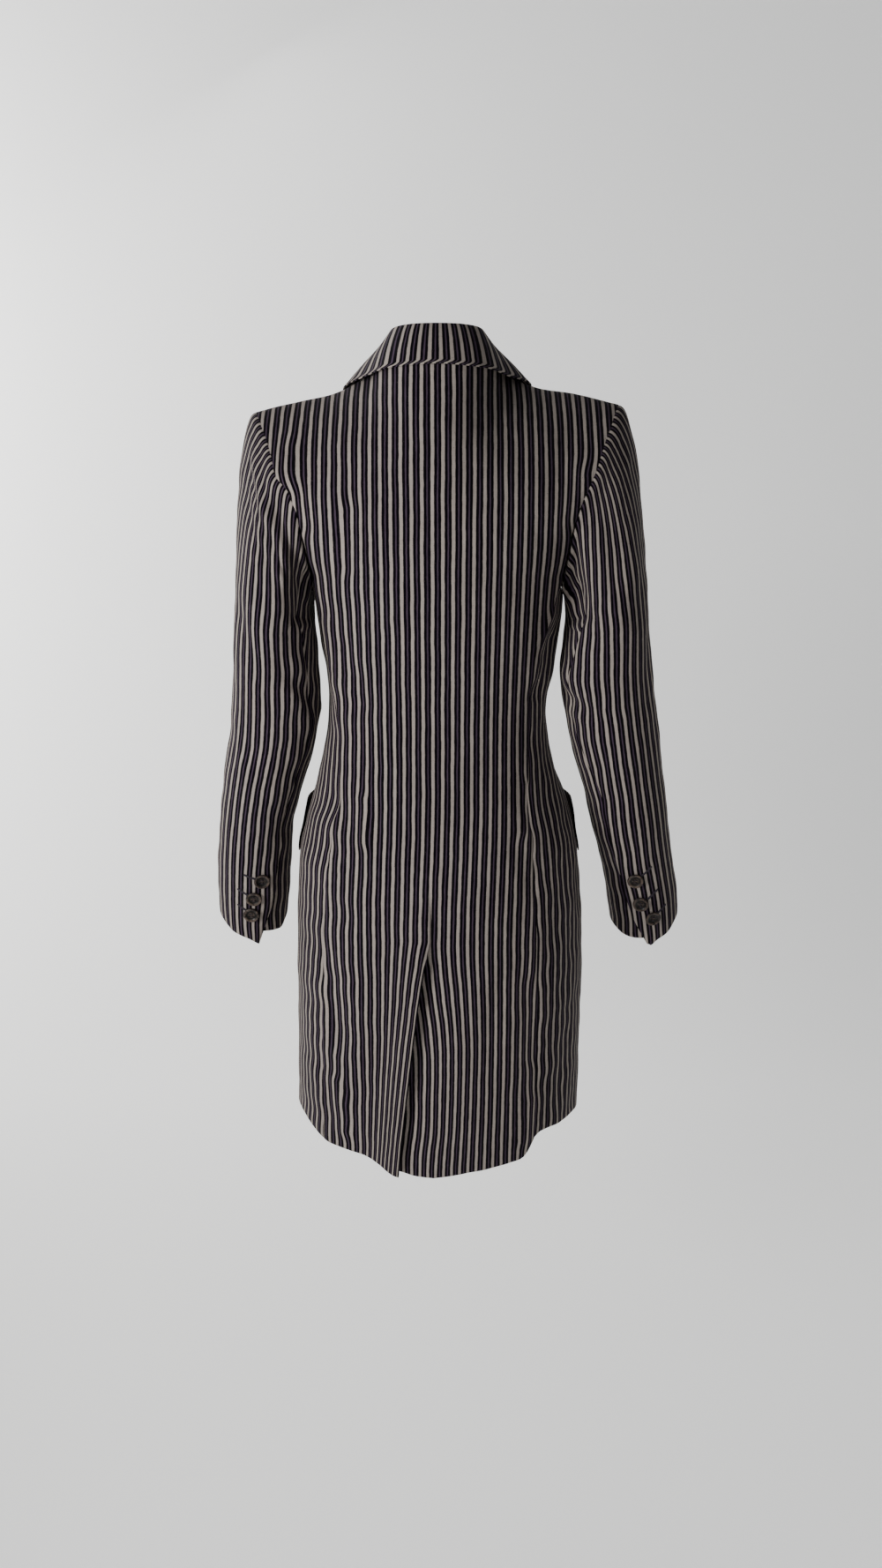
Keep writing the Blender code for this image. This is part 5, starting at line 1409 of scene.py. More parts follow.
def striped_linen():
    """Yarn-dyed linen in plain weave. Dyed before weaving, its stripes are crisp: a pale ecru one, then two
    of aubergine with a thin grey line between. Thick and thin yarns make each stripe's edge and tone uneven,
    with dark flecks, and the dry, unpolished flax gives a matt, finely grained face with hardly any shine."""
    look, tree, shader = new_look(
        "striped linen, yarn-dyed plain weave",
        {"Roughness": 0.88, "Specular IOR Level": 0.06, "Sheen Weight": 0.02, "Sheen Roughness": 0.5},
    )
    uv = add_node(tree, "ShaderNodeUVMap", uv_map="cloth")
    u, v = add_node(tree, "ShaderNodeSeparateXYZ", {0: uv}).outputs[:2]
    yarns = {}
    for name, (across, along, detail, depth) in YARN_PATTERNS.items():
        scale = (MM_A_METRE / across, MM_A_METRE / along, 1.0)
        stretch = {"Vector": uv, "Location": (0.0, 0.0, depth), "Scale": scale}
        place = add_node(tree, "ShaderNodeMapping", stretch)
        cloudy = {"Vector": place, "Scale": 1.0, "Detail": detail, "Roughness": 0.6}
        yarns[name] = add_node(tree, "ShaderNodeTexNoise", cloudy)

    # The stripe: the place across, pushed about by the yarns, divided by the repeat.
    pushed = {0: yarns["wander"], 1: WANDER, 2: STRIPE_PHASE - WANDER / 2}
    pushed = add_node(tree, "ShaderNodeMath", pushed, operation="MULTIPLY_ADD")
    place = add_node(tree, "ShaderNodeMath", {0: u, 1: pushed}, operation="ADD")
    turns = add_node(tree, "ShaderNodeMath", {0: place, 1: STRIPE_PERIOD}, operation="DIVIDE")
    share = add_node(tree, "ShaderNodeMath", {0: turns}, operation="FRACT")
    stripes = add_node(tree, "ShaderNodeValToRGB", {0: share})
    light, dark, line = linear(YARN_LIGHT), linear(YARN_DARK), linear(YARN_LINE)
    stops = [(0.0, light)]
    for edge, before, after in (
        (LIGHT_HALF, light, dark),
        (LINE_FROM, dark, line),
        (LINE_TO, line, dark),
        (1 - LIGHT_HALF, dark, light),
    ):
        stops += [(edge - STRIPE_SOFT, before), (edge + STRIPE_SOFT, after)]
    set_stops(stripes, stops + [(1.0, light)])

    # The tone: a least tone and shares of the warp's and the weft's uneven yarns, times slow patches.
    tone = {0: yarns["slub"], 1: SLUB_TONE, 2: LEAST_TONE}
    tone = add_node(tree, "ShaderNodeMath", tone, operation="MULTIPLY_ADD")
    tone = {0: yarns["weft"], 1: WEFT_TONE, 2: tone}
    tone = add_node(tree, "ShaderNodeMath", tone, operation="MULTIPLY_ADD")
    patch = {0: yarns["patch"], 1: PATCH_TONE, 2: PATCH_LEAST}
    patch = add_node(tree, "ShaderNodeMath", patch, operation="MULTIPLY_ADD")
    tone = add_node(tree, "ShaderNodeMath", {0: tone, 1: patch}, operation="MULTIPLY")
    grey = add_node(tree, "ShaderNodeCombineXYZ", {0: tone, 1: tone, 2: tone})
    dyed = {0: 1.0, 6: stripes, 7: grey}
    dyed = add_node(tree, "ShaderNodeMix", dyed, data_type="RGBA", blend_type="MULTIPLY").outputs[2]
    fleck = {0: yarns["fleck"], 1: FLECK_FROM, 2: FLECK_TO, 3: 0.0, 4: FLECK_SHARE}
    fleck = add_node(tree, "ShaderNodeMapRange", fleck)
    flecked = {0: fleck, 6: dyed, 7: linear(YARN_FLECK)}
    flecked = add_node(tree, "ShaderNodeMix", flecked, data_type="RGBA", blend_type="MIX").outputs[2]
    tree.links.new(flecked, shader.inputs["Base Color"])

    # The grain: warp times weft as sines, with the uneven yarns on top, as a low bump.
    waves = []
    for along in (u, v):
        turned = {0: along, 1: 2 * math.pi * MM_A_METRE / WEAVE_WAVE}
        turned = add_node(tree, "ShaderNodeMath", turned, operation="MULTIPLY")
        waves.append(add_node(tree, "ShaderNodeMath", {0: turned}, operation="SINE"))
    weave = add_node(tree, "ShaderNodeMath", dict(enumerate(waves)), operation="MULTIPLY")
    uneven = add_node(tree, "ShaderNodeMath", {0: yarns["slub"], 1: yarns["weft"]}, operation="ADD")
    grain = {0: weave, 1: WEAVE_HEIGHT, 2: uneven}
    grain = add_node(tree, "ShaderNodeMath", grain, operation="MULTIPLY_ADD")
    bump = {"Height": grain, "Strength": GRAIN_STRENGTH, "Distance": GRAIN_DISTANCE}
    bump = add_node(tree, "ShaderNodeBump", bump)
    tree.links.new(bump.outputs[0], shader.inputs["Normal"])
    return look


# The horn's streaks and the twist of the thread, in millimetres.
HORN_STREAK = 6.25
THREAD_TWIST = 0.38462
# How pale the horn is painted at places from the middle of a button to its edge. This is painted light: a
# painted highlight on the rim, and painted shade in the groove inside it and round its outer edge.
HORN_PAINTED_LIGHT = (
    (0.0, 0.62),
    (0.34, 0.52),
    (0.47, 0.05),
    (0.60, 0.10),
    (0.72, 0.60),
    (0.86, 1.0),
    (1.0, 0.18),
)


def dark_horn():
    """Dark horn, turned on a lathe and satin polished: brown-black with paler cloudy streaks of a few
    millimetres and a soft shine. Its colour also has light painted in: paler on the rim as a painted
    highlight, nearly black in the groove inside it and darker round its outer edge as painted shade."""
    look, tree, shader = new_look(
        "dark horn, turned and satin polished",
        {"Roughness": 0.42, "Specular IOR Level": 0.22, "Coat Weight": 0.04},
    )
    place = add_node(tree, "ShaderNodeTexCoord").outputs["Object"]
    streaks = {"Vector": place, "Scale": MM_A_METRE / HORN_STREAK, "Detail": 4.0, "Roughness": 0.6}
    streaks = add_node(tree, "ShaderNodeTexNoise", {**streaks, "Distortion": 1.2})
    cloud = add_node(tree, "ShaderNodeValToRGB", {0: streaks})
    set_stops(cloud, ((0.38, linear("1a1413")), (0.68, linear("6b5b50"))))
    # Painted light: by the distance from the middle, a painted highlight on the rim and painted shade in the
    # groove and round the edge multiply the horn's streaked colour.
    from_middle = add_node(tree, "ShaderNodeAttribute", attribute_name="from_middle").outputs["Fac"]
    painted_light = add_node(tree, "ShaderNodeValToRGB", {0: from_middle})
    set_stops(painted_light, [(at, (tone, tone, tone, 1.0)) for at, tone in HORN_PAINTED_LIGHT])
    colour = {0: 1.0, 6: cloud, 7: painted_light}
    colour = add_node(tree, "ShaderNodeMix", colour, data_type="RGBA", blend_type="MULTIPLY")
    tree.links.new(colour.outputs[2], shader.inputs["Base Color"])
    return look


def sewing_thread():
    """Spun sewing thread, dyed aubergine: matt, with a twist of under half a millimetre that mottles its
    tone."""
    look, tree, shader = new_look("aubergine sewing thread, twisted", {"Roughness": 0.8})
    place = add_node(tree, "ShaderNodeTexCoord").outputs["Object"]
    twist = {"Vector": place, "Scale": MM_A_METRE / THREAD_TWIST, "Detail": 1.0}
    twist = add_node(tree, "ShaderNodeTexNoise", twist)
    colour = add_node(tree, "ShaderNodeValToRGB", {0: twist})
    set_stops(colour, ((0.0, linear("120d15")), (1.0, linear("2c2230"))))
    tree.links.new(colour.outputs[0], shader.inputs["Base Color"])
    return look


LINEN = striped_linen()
HORN = dark_horn()
THREAD = sewing_thread()

# Cloth pieces

# The rows of the body's panels, with closer ones at the seam along their top.
BODY_ROWS = np.concatenate(
    [
        fine_spread(BELOW_UNDERARM)[:-1] * UNDER_AT,
        UNDER_AT + (1 - UNDER_AT) * fine_spread(ABOVE_UNDERARM, last=True),
    ]
)

# How nearly upright the body's stripes hang: a share low down, and fully from a level over a run.
UPRIGHT_LOW = 0.55
UPRIGHT_FROM, UPRIGHT_RUN = -0.30, 0.17
# How far the stripes of the back drift across below the waist.
STRIPE_DRIFT = 0.004
DRIFT_FROM, DRIFT_RUN = -0.42, 0.16
# The sidewise wavering of the stripes, in heights of the crumple: in general, and beside the hips.
WAVE_SHIFT = 0.35
WAVE_SHIFT_AT_SIDES = 1.1
WAVE_SIDES_FROM, WAVE_SIDES_RUN = 0.065, 0.04
WAVE_LOW_FROM, WAVE_LOW_RUN = -0.28, 0.12
# Where folds push the stripes of the back aside: from x and level, to x and level, half width, shift.
STRIPE_BENDS = (
    (0.152, -0.060, 0.154, -0.080, 0.014, 0.0035),
    (0.146, -0.108, 0.138, -0.134, 0.012, -0.0045),
    (-0.152, -0.085, -0.142, -0.128, 0.013, 0.0040),
    (-0.129, -0.240, -0.122, -0.268, 0.013, -0.006),
    (-0.121, -0.285, -0.112, -0.318, 0.012, 0.005),
    (0.126, -0.245, 0.118, -0.305, 0.013, 0.004),
    (0.088, -0.120, 0.094, -0.175, 0.012, -0.003),
    (0.083, -0.430, 0.081, -0.472, 0.008, 0.003),
    (-0.099, -0.418, -0.096, -0.462, 0.008, -0.003),
    (0.120, -0.640, 0.114, -0.720, 0.012, -0.003),
    (0.118, -0.770, 0.110, -0.830, 0.010, 0.004),
    (-0.104, -0.640, -0.112, -0.730, 0.012, 0.003),
    (-0.110, -0.790, -0.104, -0.840, 0.010, -0.003),
)


def wave_shift(points):
    """The crumple's height turned into a sidewise shift of the stripes, larger beside the hips."""
    beside = ease((np.abs(points[..., 0]) - WAVE_SIDES_FROM) / WAVE_SIDES_RUN)
    low = ease((WAVE_LOW_FROM - points[..., 2]) / WAVE_LOW_RUN)
    return (WAVE_SHIFT + (WAVE_SHIFT_AT_SIDES - WAVE_SHIFT) * beside * low) * crumple(points)


def stripes_of_body(points, turn):
    """Cloth places across a back (turn 1) or front (turn -1): the length gone from the garment's centre line
    at each level, mixed with the place across, so that the stripes hang nearly upright, and fully so from
    below the underarm to the shoulders. The folds push them aside, and the crumple lets them waver."""
    centre = SPINE_X * (turn > 0)
    first, last = points[:, :1, 0], points[:, -1:, 0]
    by_arc = (first - centre) + running(points, 1) * np.sign(last - first)
    by_x = points[..., 0] - centre
    upright = UPRIGHT_LOW + (1 - UPRIGHT_LOW) * ease((points[..., 2] - UPRIGHT_FROM) / UPRIGHT_RUN)
    u = by_arc + (by_x - by_arc) * upright - wave_shift(points)
    if turn > 0:
        u = u - fold_height(STRIPE_BENDS, points[..., 0], points[..., 2])
        u = u - STRIPE_DRIFT * ease((DRIFT_FROM - points[..., 2]) / DRIFT_RUN)
    return u


# The back's vent in the cloth. On the left half: the band that follows its edge, the pale stripe along it and
# how far the edge stands off. On the right half: how far it sinks behind, and how its stripes fan away.
VENT_OPEN_RUN = 0.04
VENT_EDGE_BAND = 0.026
VENT_LIGHT_LINE = 0.0042
VENT_LINE_WIDTH = 0.0028
VENT_STAND_OFF = 0.0030
VENT_SINK = 0.0065
VENT_SINK_BAND = 0.022
VENT_FAN = 0.016
VENT_FAN_BAND = 0.070
VENT_FAN_RUN = 0.16
VENT_FAN_LESS = 0.35
VENT_FAN_LESS_FROM, VENT_FAN_LESS_RUN = -0.80, 0.07


def build_back(side, word):
    """A back half. Along the vent the left half's edge stands off a little and its nearest stripes follow it,
    the outermost a pale one. The right half sinks behind it, and its stripes fan away to the right."""
    points = back(side)(*np.meshgrid(fine_spread(BACK_WIDE, True, True), BODY_ROWS))
    u = stripes_of_body(points, 1)
    level = points[..., 2]
    swing = vent_swing(level)
    from_edge = points[..., 0] - SPINE_X - swing
    opened = ease((VENT_TOP - level) / VENT_OPEN_RUN)
    if side > 0:
        u = u - swing * bell(from_edge, VENT_EDGE_BAND)
        u = u - VENT_LIGHT_LINE * opened * bell(from_edge, VENT_LINE_WIDTH)
        moved = VENT_STAND_OFF * bell(from_edge, VENT_EDGE_BAND)
    else:
        fan = VENT_FAN * ease((VENT_TOP - level) / VENT_FAN_RUN)
        fan = fan * (1 - VENT_FAN_LESS * ease((VENT_FAN_LESS_FROM - level) / VENT_FAN_LESS_RUN))
        u = u + fan * bell(from_edge, VENT_FAN_BAND)
        moved = -VENT_SINK * bell(np.minimum(from_edge, 0), VENT_SINK_BAND)
    points = points + smooth_normals(points, -side) * (moved * opened)[..., None]
    cloth_piece("back_" + word, points, -side, u, level, ("first", "last", "top"))


def build_front(side, word):
    """A front, its centre edge plain."""
    points = front(side)(*np.meshgrid(fine_spread(FRONT_WIDE, True, True), BODY_ROWS))
    cloth_piece("front_" + word, points, side, stripes_of_body(points, -1), points[..., 2], ("last", "top"))


# How much the seam to the back counts in the stripes of a side panel.
SEAM_GRAIN = 0.8


def build_side_panel(side, word):
    """A side panel. Its stripes keep their length from a line between the seam to the back, which counts
    most, and the panel's middle."""
    grid = np.meshgrid(fine_spread(SIDE_WIDE, True, True), fine_spread(BELOW_UNDERARM))
    points = side_panel(side)(*grid)
    gone = running(points, 1)
    first_is_rear = points[0, 0, 1] > points[0, -1, 1]
    by_seam = gone if first_is_rear else gone - gone[:, -1:]
    by_middle = gone - gone[:, points.shape[1] // 2][:, None]
    u = SEAM_GRAIN * by_seam + (1 - SEAM_GRAIN) * by_middle - wave_shift(points)
    cloth_piece("side_" + word, points, -side, u, points[..., 2], ("first", "last"))


# The grain line of the upper and the under sleeve, as angles round them.
UPPER_GRAIN_DEG = 62.0
UNDER_GRAIN_DEG = 180.0
SLEEVE_WAVE_SHIFT = 0.9
SLEEVE_WAVE_RUN = 0.1
# Where the stripes follow level lines: from the top down the sleeve, and from this angle on behind it. Then
# the number of levels, and the least step down from row to row, which keeps the levels apart.
LEVEL_GRAIN_FROM, LEVEL_GRAIN_RUN = 0.22, 0.22
LEVEL_GRAIN_FROM_DEG, LEVEL_GRAIN_RUN_DEG = 30.0, 55.0
LEVELS = 160
LEVEL_STEP = 1e-9
# How far the stripes lean to the rear at the top of the cap.
CAP_SWAY = {1: 0.018, -1: 0.021}
CAP_SWAY_FROM, CAP_SWAY_RUN = 0.01, 0.26


def from_grain(gone, angle, grain):
    """Lengths along each row counted from where the row's angle meets the grain line."""
    start = np.array([np.interp(grain, row_angle, row) for row_angle, row in zip(angle, gone)])
    return gone - start[:, None]


def level_lengths(points, angle, grain):
    """For each place of a sleeve, the length of the level line round it from the grain line: each column's
    places are looked up at a set of levels, and the steps between neighbouring columns are added up level by
    level."""
    falling = np.maximum.accumulate(-points[..., 2], axis=0)
    falling = falling + np.arange(len(points))[:, None] * LEVEL_STEP
    levels = np.linspace(falling.min(), falling.max(), LEVELS)
    columns = range(points.shape[1])
    x, y, turned = (
        np.stack([np.interp(levels, falling[:, j], value[:, j]) for j in columns], axis=1)
        for value in (points[..., 0], points[..., 1], angle)
    )
    gone = np.cumsum(np.pad(np.hypot(np.diff(x), np.diff(y)), ((0, 0), (1, 0))), axis=1)
    gone = from_grain(gone, turned, grain)
    return np.stack([np.interp(falling[:, j], levels, gone[:, j]) for j in columns], axis=1)


def build_sleeve(side, word, under):
    """A sleeve piece. On the tube the stripes keep their length round it from the grain line, and behind the
    shoulder they keep it round level lines, so that they hang upright and the armhole cuts them off."""
    cap = CAP_AT * fine_spread(CAP_LONG, True)[:-1]
    downs = np.concatenate([cap, CAP_AT + (1 - CAP_AT) * fine_spread(ARM_LONG)])
    across, down = np.meshgrid(fine_spread(UNDER_WIDE if under else UPPER_WIDE, True, True), downs)
    points = sleeve(side, under)(across, down)
    angle = sleeve_span(side, under, across, down)
    grain = UNDER_GRAIN_DEG if under else UPPER_GRAIN_DEG
    u = from_grain(running(points, 1), angle, grain)
    weight = 1 - ease((down - LEVEL_GRAIN_FROM) / LEVEL_GRAIN_RUN)
    level = level_lengths(sleeve_flat(side, angle, down), angle, grain)
    if under:
        level = level - level[:, :1] + level[-1, 0]
    else:
        weight = weight * ease((angle - LEVEL_GRAIN_FROM_DEG) / LEVEL_GRAIN_RUN_DEG)
        high = 1 - ease((down - CAP_SWAY_FROM) / CAP_SWAY_RUN)
        level = level + np.sign(u[0, -1] - u[0, 0]) * CAP_SWAY[side] * high
    u = u + (level - u) * weight
    u = u - SLEEVE_WAVE_SHIFT * crumple(points) * ease(down / SLEEVE_WAVE_RUN)
    node = ("under_sleeve_" if under else "upper_sleeve_") + word
    cloth_piece(node, points, -side, u, -running(points, 0), ("first", "last", "bottom"))


LAPEL_COLUMNS, LAPEL_ROWS = 34, 80


def build_lapel(side, word):
    """A lapel, its stripes along its outer edge."""
    points = lapel(side, LAPEL_COLUMNS, LAPEL_ROWS)
    gone = running(points, 1)
    u = gone[:, -1:] - gone
    cloth_piece("lapel_" + word, points, side, u, running(points, 0), thickness=DOUBLE_CLOTH)


def build_flap(side, word):
    """A pocket flap, its stripes upright."""
    points = flap(side)(*np.meshgrid(fine_spread(FLAP_WIDE), fine_spread(FLAP_HIGH)))
    u = running(points, 1)
    cloth_piece("pocket_flap_" + word, points, -side, u, points[..., 2], thickness=DOUBLE_CLOTH)


# The collar's grid: columns, then rows on the stand, over the fold and down the fall.
COLLAR_COLUMNS = 150
COLLAR_ROWS = np.unique(
    np.concatenate([np.linspace(0, 0.34, 12), np.linspace(0.34, 0.52, 14), np.linspace(0.52, 1, 22)])
)
# The line round the collar that its stripes are set out along, where they widen, and the slant at its edge.
COLLAR_REFERENCE = 0.78
COLLAR_FAN_FROM, COLLAR_FAN_RUN, COLLAR_FAN = 0.040, 0.075, 0.42
COLLAR_EDGE_BAND, COLLAR_EDGE_SLANT = 0.0030, -0.0065


def build_collar():
    """The collar, its stripes set out along one line round it, wider where it turns to the front, and
    slanting where the edge rolls under."""
    around = np.linspace(-1, 1, COLLAR_COLUMNS)
    points = collar(*np.meshgrid(around, COLLAR_ROWS))
    reference = collar(around, 0 * around + COLLAR_REFERENCE)
    u = running(reference[None], 1)[0]
    u = u - u[-1] / 2
    beside = np.clip(np.abs(u) - COLLAR_FAN_FROM, 0, COLLAR_FAN_RUN)
    u = u - COLLAR_FAN * np.sign(u) * beside
    along = running(points, 0)
    rolled = ease(1 - (along[-1:] - along) / COLLAR_EDGE_BAND)
    u = u[None, :] + COLLAR_EDGE_SLANT * rolled
    cloth_piece("collar", points, 1, u, along, thickness=COLLAR_CLOTH)


# A button's section from the middle of its face over the rim to the middle of its back: share of the radius,
# share of the thickness. The face's rows come first.
BUTTON_RINGS = np.array(
    [
        (0.0, 0.42),
        (0.12, 0.42),
        (0.22, 0.42),
        (0.32, 0.42),
        (0.42, 0.43),
        (0.50, 0.46),
        (0.58, 0.56),
        (0.66, 0.75),
        (0.76, 0.93),
        (0.84, 1.00),
        (0.91, 0.97),
        (0.96, 0.86),
        (0.99, 0.70),
        (1.00, 0.52),
        (0.98, 0.34),
        (0.92, 0.16),
        (0.80, 0.05),
        (0.62, 0.00),
        (0.0, 0.00),
    ]
)
# The rows that are drawn, those that belong to the face, the points round, and the share of the radius that
# the first and the last row stay off the middle.
BUTTON_ROWS, FACE_ROWS, BUTTON_SIDES = 55, 30, 48
BUTTON_MIDDLE = 0.004
# The four holes: place each way and radius in shares of the button's radius, depth in shares of its
# thickness, and where and over how much of a hole's radius its wall lies.
HOLE_PLACE = 0.20
HOLE_RADIUS = 0.095
HOLE_DEPTH = 0.45
HOLE_WALL_FROM, HOLE_WALL_RUN = 0.6, 0.8


def seat_frame(out):
    """Two directions on a seat, one of them level, and the direction out of it."""
    out = unit(out)
    first = unit(np.cross(np.array([0.0, 0.0, 1.0]), out))
    return first, np.cross(out, first), out


def fine_button(name, seat, out, radius):
    """A lathed disc with a raised rim: rings of points at the section's distances and heights, the four holes
    pressed into the sunk middle."""
    first, second, out = seat_frame(out)
    rows = np.linspace(0, len(BUTTON_RINGS) - 1, BUTTON_ROWS)
    distance, height = between(np.arange(len(BUTTON_RINGS)), BUTTON_RINGS, rows).T
    distance = np.maximum(distance, BUTTON_MIDDLE)
    turn = np.linspace(0, 2 * np.pi, BUTTON_SIDES, endpoint=False)
    x, y = distance[:, None] * np.cos(turn), distance[:, None] * np.sin(turn)
    height = height[:, None] + 0 * x
    face = np.arange(BUTTON_ROWS)[:, None] < FACE_ROWS
    for corner_x in (-HOLE_PLACE, HOLE_PLACE):
        for corner_y in (-HOLE_PLACE, HOLE_PLACE):
            away = np.hypot(x - corner_x, y - corner_y) / HOLE_RADIUS
            hole = HOLE_DEPTH * (1 - ease((away - HOLE_WALL_FROM) / HOLE_WALL_RUN))
            height = height - np.where(face, hole, 0)
    on_seat = seat + radius * (x[..., None] * first + y[..., None] * second)
    points = on_seat + (height * BUTTON_THICKNESS)[..., None] * out
    faces = grid_quads(ring_index(BUTTON_ROWS, BUTTON_SIDES))[:, [0, 3, 2, 1]]
    made = jacket_piece(name + "_horn", points, faces, HORN)
    # The distance from the middle, which the horn's colour uses for its painted highlight and painted shade.
    from_middle = made.data.attributes.new("from_middle", "FLOAT", "POINT")
    from_middle.data.foreach_set("value", np.hypot(x, y).astype(np.float32).ravel())
    PIECES[name] = made


# Threads: points round them, the share of the radius at an open end, and a direction that none runs in.
THREAD_SIDES = 8
THREAD_TIP = 0.05
ASKEW = np.array([0.31, 0.87, 0.38])


def thread(name, path, radius, closed=False):
    """A round thread along a line of points: rings square to the line, joined ring to ring, and drawn in to a
    point at an open end."""
    path = np.asarray(path)
    ahead = np.roll(path, -1, axis=0) - np.roll(path, 1, axis=0)
    size = np.full(len(path), radius)
    if not closed:
        ahead[0], ahead[-1] = path[1] - path[0], path[-1] - path[-2]
        size[0] = size[-1] = radius * THREAD_TIP
    ahead = unit(ahead)
    aside = unit(np.cross(ahead, ASKEW))
    other = np.cross(ahead, aside)
    turn = np.linspace(0, 2 * np.pi, THREAD_SIDES, endpoint=False)[None, :, None]
    way = np.cos(turn) * aside[:, None] + np.sin(turn) * other[:, None]
    rings = path[:, None] + size[:, None, None] * way
    index = ring_index(len(path), THREAD_SIDES)
    if closed:
        index = np.vstack([index, index[:1]])
    jacket_piece(name, rings, grid_quads(index), THREAD)


# The bars of thread over a button's holes: radius, points, and the arch's foot and rise in thicknesses.
BAR_RADIUS = 0.00045
BAR_POINTS = 13
BAR_FOOT, BAR_RISE = 0.30, 0.52


def button_thread(name, seat, out, radius):
    """Two bars of thread over the holes, each arched like the square root of one less its place to the
    fourth."""
    first, second, out = seat_frame(out)
    along = np.linspace(-1, 1, BAR_POINTS)
    arch = BUTTON_THICKNESS * (BAR_FOOT + BAR_RISE * np.sqrt(np.clip(1 - along**4, 0, 1)))
    for number, shift in enumerate((-HOLE_PLACE, HOLE_PLACE), 1):
        on_seat = seat + (along * HOLE_PLACE * radius)[:, None] * first + shift * radius * second
        thread(f"{name}_thread_{number}", on_seat + arch[:, None] * out, BAR_RADIUS)


def place_on(side, angle, down):
    """The share across the upper sleeve of an angle round it."""
    start, end = (float(sleeve_span(side, False, np.array(edge), np.array(down))) for edge in (0.0, 1.0))
    return (angle - start) / (end - start)


# Buttonholes: points on a side, half the slit's width, the radii of the stitches and of the slit's dark line,
# and how far above the cloth each lies. On a cuff, the share of the way to the far end where one starts.
HOLE_POINTS = 24
BUTTONHOLE_HALF = 0.0007
STITCH_RADIUS, STITCH_ABOVE = 0.00065, 0.0003
SLIT_RADIUS, SLIT_ABOVE = 0.00055, 0.0002
BUTTONHOLE_FROM = 0.35
# Buttonholes of the cuffs: angle of the far end, place down the sleeve at the far end.
CUFF_HOLES = {
    1: ((82.0, 0.828), (72.0, 0.866), (72.0, 0.914)),
    -1: ((72.0, 0.812), (68.0, 0.872), (58.0, 0.922)),
}
# Buttonholes of the front: start as a share of the button's place across, then end across and up from it.
FRONT_HOLE_START = 0.96
FRONT_HOLE_ACROSS, FRONT_HOLE_UP = -0.075, 0.002


def buttonhole(name, surface, turn, start, end):
    """A worked buttonhole: thread in close stitches round a slit, laid on the cloth from one place to
    another."""
    start, end = np.array(start), np.array(end)
    out_and_back = [np.linspace(0, 1, HOLE_POINTS), np.linspace(1, 0, HOLE_POINTS)[1:-1]]
    lean = np.concatenate([np.ones(HOLE_POINTS), -np.ones(HOLE_POINTS - 2)])
    across, height = (start + (end - start) * np.concatenate(out_and_back)[:, None]).T
    points = surface(across, height)
    out = outward(surface, turn, across, height, SEAT_STEP)
    run = unit(points[HOLE_POINTS // 2] - points[2])
    aside = unit(np.cross(out, run))
    path = points + aside * (lean * BUTTONHOLE_HALF)[:, None] + out * (CLOTH / 2 + STITCH_ABOVE)
    thread(name, path, STITCH_RADIUS, closed=True)
    slit = slice(2, HOLE_POINTS - 2)
    thread(name + "_slit", points[slit] + out[slit] * (CLOTH / 2 + SLIT_ABOVE), SLIT_RADIUS)


def sewn_button(name, surface, turn, across, height, radius, gap=SEAT_GAP):
    """A button with its thread, on its seat on a surface."""
    seat, out = seat_on(surface, turn, across, height, gap)
    fine_button(name, seat, out, radius)
    button_thread(name, seat, out, radius)


def build_cuff_buttons(side, word):
    """The three buttons of a cuff, each with its thread and its buttonhole."""
    surface = sleeve(side, False)
    places = zip(CUFF_BUTTONS[side], CUFF_HOLES[side])
    for number, ((angle, down), (far_angle, far_down)) in enumerate(places, 1):
        across = place_on(side, angle, down)
        name = f"cuff_button_{word}_{number}"
        sewn_button(name, surface, -side, across, down, CUFF_BUTTON_RADIUS)
        far = np.array([place_on(side, far_angle, far_down), far_down])
        near = np.array([across, down])
        buttonhole(name + "_hole", surface, -side, near + (far - near) * BUTTONHOLE_FROM, far)


def build_front_buttons():
    """The three buttons of the front, on its centre line, each with its thread and its buttonhole."""
    surface = front(-1)
    for number, (level, gap) in enumerate(FRONT_BUTTONS, 1):
        height = UNDER_AT * (level - FRONT_HEM) / (UNDERARM - FRONT_HEM)
        start, end = front_edges(-1, np.array(level))
        across = float((-np.pi - start) / (end - start))
        name = f"front_button_{number}"
        sewn_button(name, surface, -1, across, height, FRONT_BUTTON_RADIUS, gap)
        far = (across + FRONT_HOLE_ACROSS, height + FRONT_HOLE_UP)
        buttonhole(name + "_hole", surface, -1, (across * FRONT_HOLE_START, height), far)


for side, word in ((1, "left"), (-1, "right")):
    build_back(side, word)
    build_front(side, word)
    build_side_panel(side, word)
    build_sleeve(side, word, False)
    build_sleeve(side, word, True)
    build_lapel(side, word)
    build_flap(side, word)
    build_cuff_buttons(side, word)
build_collar()
build_front_buttons()

for node, piece in PIECES.items():
    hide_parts(node)

# Floor, light and camera

# The floor: its level, half width and near end, then the backdrop's place, height and bend.
FLOOR_LEVEL = -1.50
FLOOR_HALF_WIDE = 7.0
FLOOR_NEAR = 3.5
BACKDROP_AT = -2.2
BACKDROP_TOP = 5.0
BACKDROP_BEND = 1.2
BEND_POINTS = 16

# The lamps: name, place, what they face, width and power in watts.
LAMPS = (
    ("key", (0.98, 1.0, -0.10), (0.05, 0, -0.25), 0.5, 20),
    ("fill", (-0.3, 2.3, 0.3), (0, 0, -0.3), 1.0, 4),
    ("front", (0.8, -1.5, 1.4), (0, 0, -0.3), 1.2, 14),
    ("wash", (2.6, -1.1, 0.3), (2.0, -2.2, 0.2), 1.2, 110),
)
STUDIO_COLOUR = "f2f4f6"
STUDIO_STRENGTH = 0.14

# The camera: its place, its tilt down in degrees, the sensor's width, and the focal length and the frame's
# height in the photo's pixels.
CAMERA_PLACE = (-0.004, 1.25, -0.045)
CAMERA_TILT = 17.43
CAMERA_SENSOR = 36.0
FOCAL_PIXELS = 1264
FRAME_PIXELS = 1778


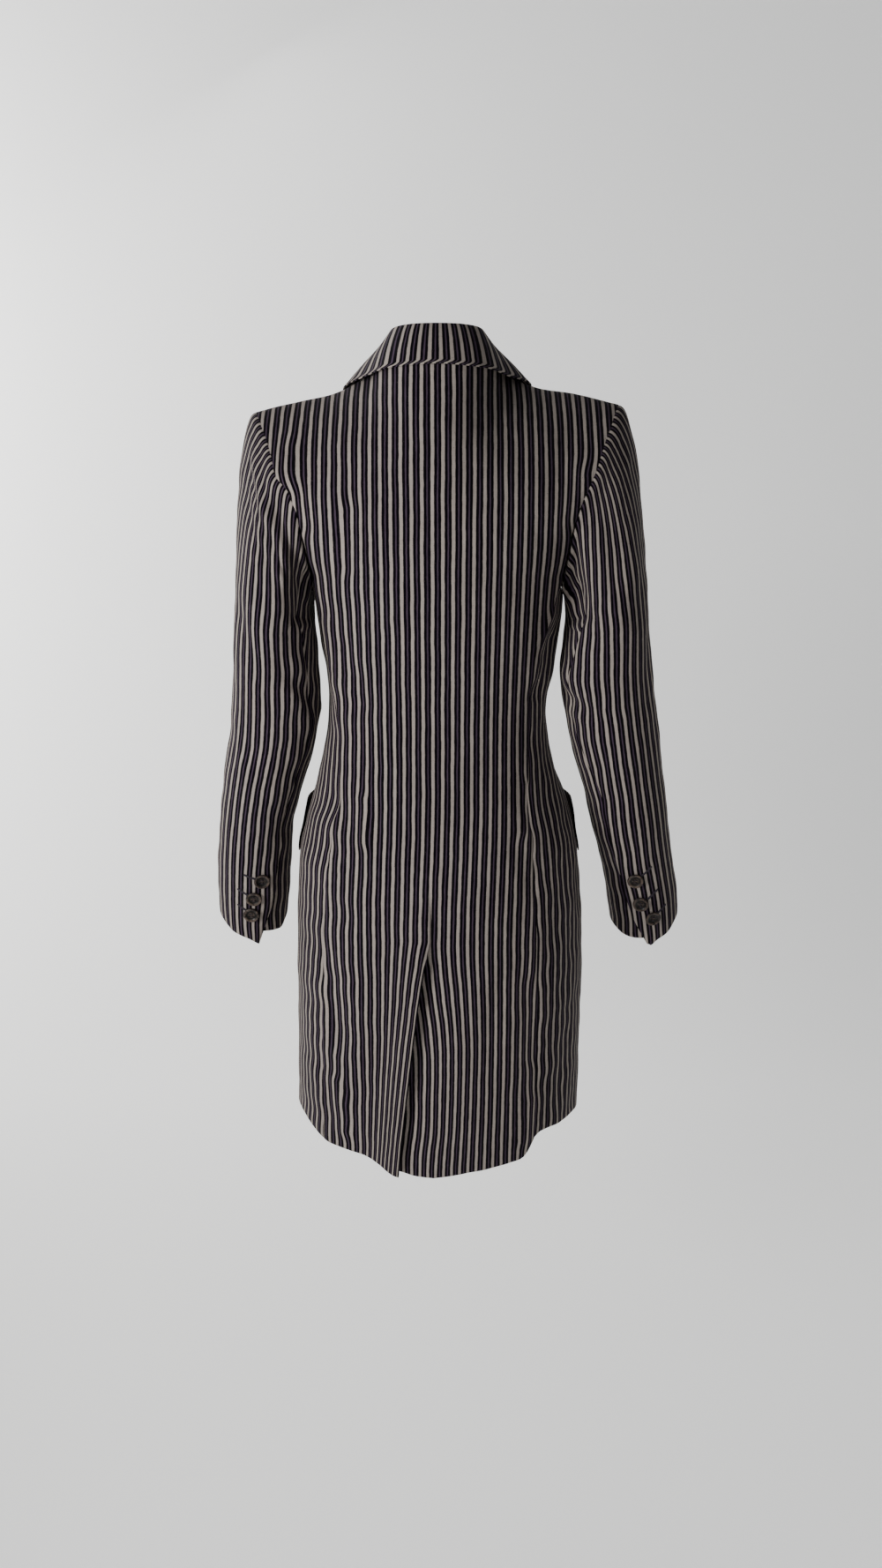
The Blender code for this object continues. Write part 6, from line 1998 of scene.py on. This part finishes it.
def build_floor():
    """A pale floor that curves up into a backdrop: a flat run, a quarter of a circle and a wall. Its matt
    paint scatters the light evenly, and a little light of its own stands for the studio's bounced light."""
    turn = np.linspace(0, np.pi / 2, BEND_POINTS)
    bend_y = BACKDROP_AT + BACKDROP_BEND - BACKDROP_BEND * np.sin(turn)
    bend_z = FLOOR_LEVEL + BACKDROP_BEND - BACKDROP_BEND * np.cos(turn)
    bend = np.stack([bend_y, bend_z], axis=-1)
    run = np.concatenate([[[FLOOR_NEAR, FLOOR_LEVEL]], bend, [[BACKDROP_AT, BACKDROP_TOP]]])
    points = np.array([(x, y, z) for x in (-FLOOR_HALF_WIDE, FLOOR_HALF_WIDE) for y, z in run])
    faces = grid_quads(np.arange(2 * len(run)).reshape(2, -1))
    finish = {
        "Base Color": linear("eeedeb"),
        "Emission Color": linear("eef0f1"),
        "Emission Strength": 0.42,
        "Roughness": 0.9,
    }
    look = new_look("pale grey painted floor", finish)[0]
    floor = put_in_scene("floor", smooth_mesh("floor", points, faces, look))


def add_lamp(name, place, target, width, power):
    """A soft square lamp. It faces down unturned, so it is tipped by the angle from down to its target, and
    then turned about the upright towards it."""
    lamp = bpy.data.lights.new(name, "AREA")
    lamp.size = width
    lamp.energy = power
    made = put_in_scene(name, lamp)
    made.location = place
    x, y, z = np.array(target) - np.array(place)
    made.rotation_euler = (math.atan2(math.hypot(x, y), -z), 0.0, math.atan2(y, x) - math.pi / 2)


def build_world():
    """The even light of a pale studio."""
    world = bpy.data.worlds.new("studio")
    world.use_nodes = True
    background = world.node_tree.nodes["Background"]
    background.inputs["Color"].default_value = linear(STUDIO_COLOUR)
    background.inputs["Strength"].default_value = STUDIO_STRENGTH
    bpy.context.scene.world = world


def build_camera():
    """The photo's camera: behind the jacket, just under the level of its shoulders, looking down a little."""
    camera = bpy.data.cameras.new("photo_camera")
    camera.sensor_width = CAMERA_SENSOR
    camera.sensor_fit = "AUTO"
    camera.lens = CAMERA_SENSOR * FOCAL_PIXELS / FRAME_PIXELS
    camera.clip_start = 0.01
    made = put_in_scene("photo_camera", camera)
    made.location = CAMERA_PLACE
    made.rotation_euler = (math.pi / 2 - math.radians(CAMERA_TILT), 0.0, math.pi)
    bpy.context.scene.camera = made


build_floor()
build_world()
for lamp_row in LAMPS:
    add_lamp(*lamp_row)
build_camera()
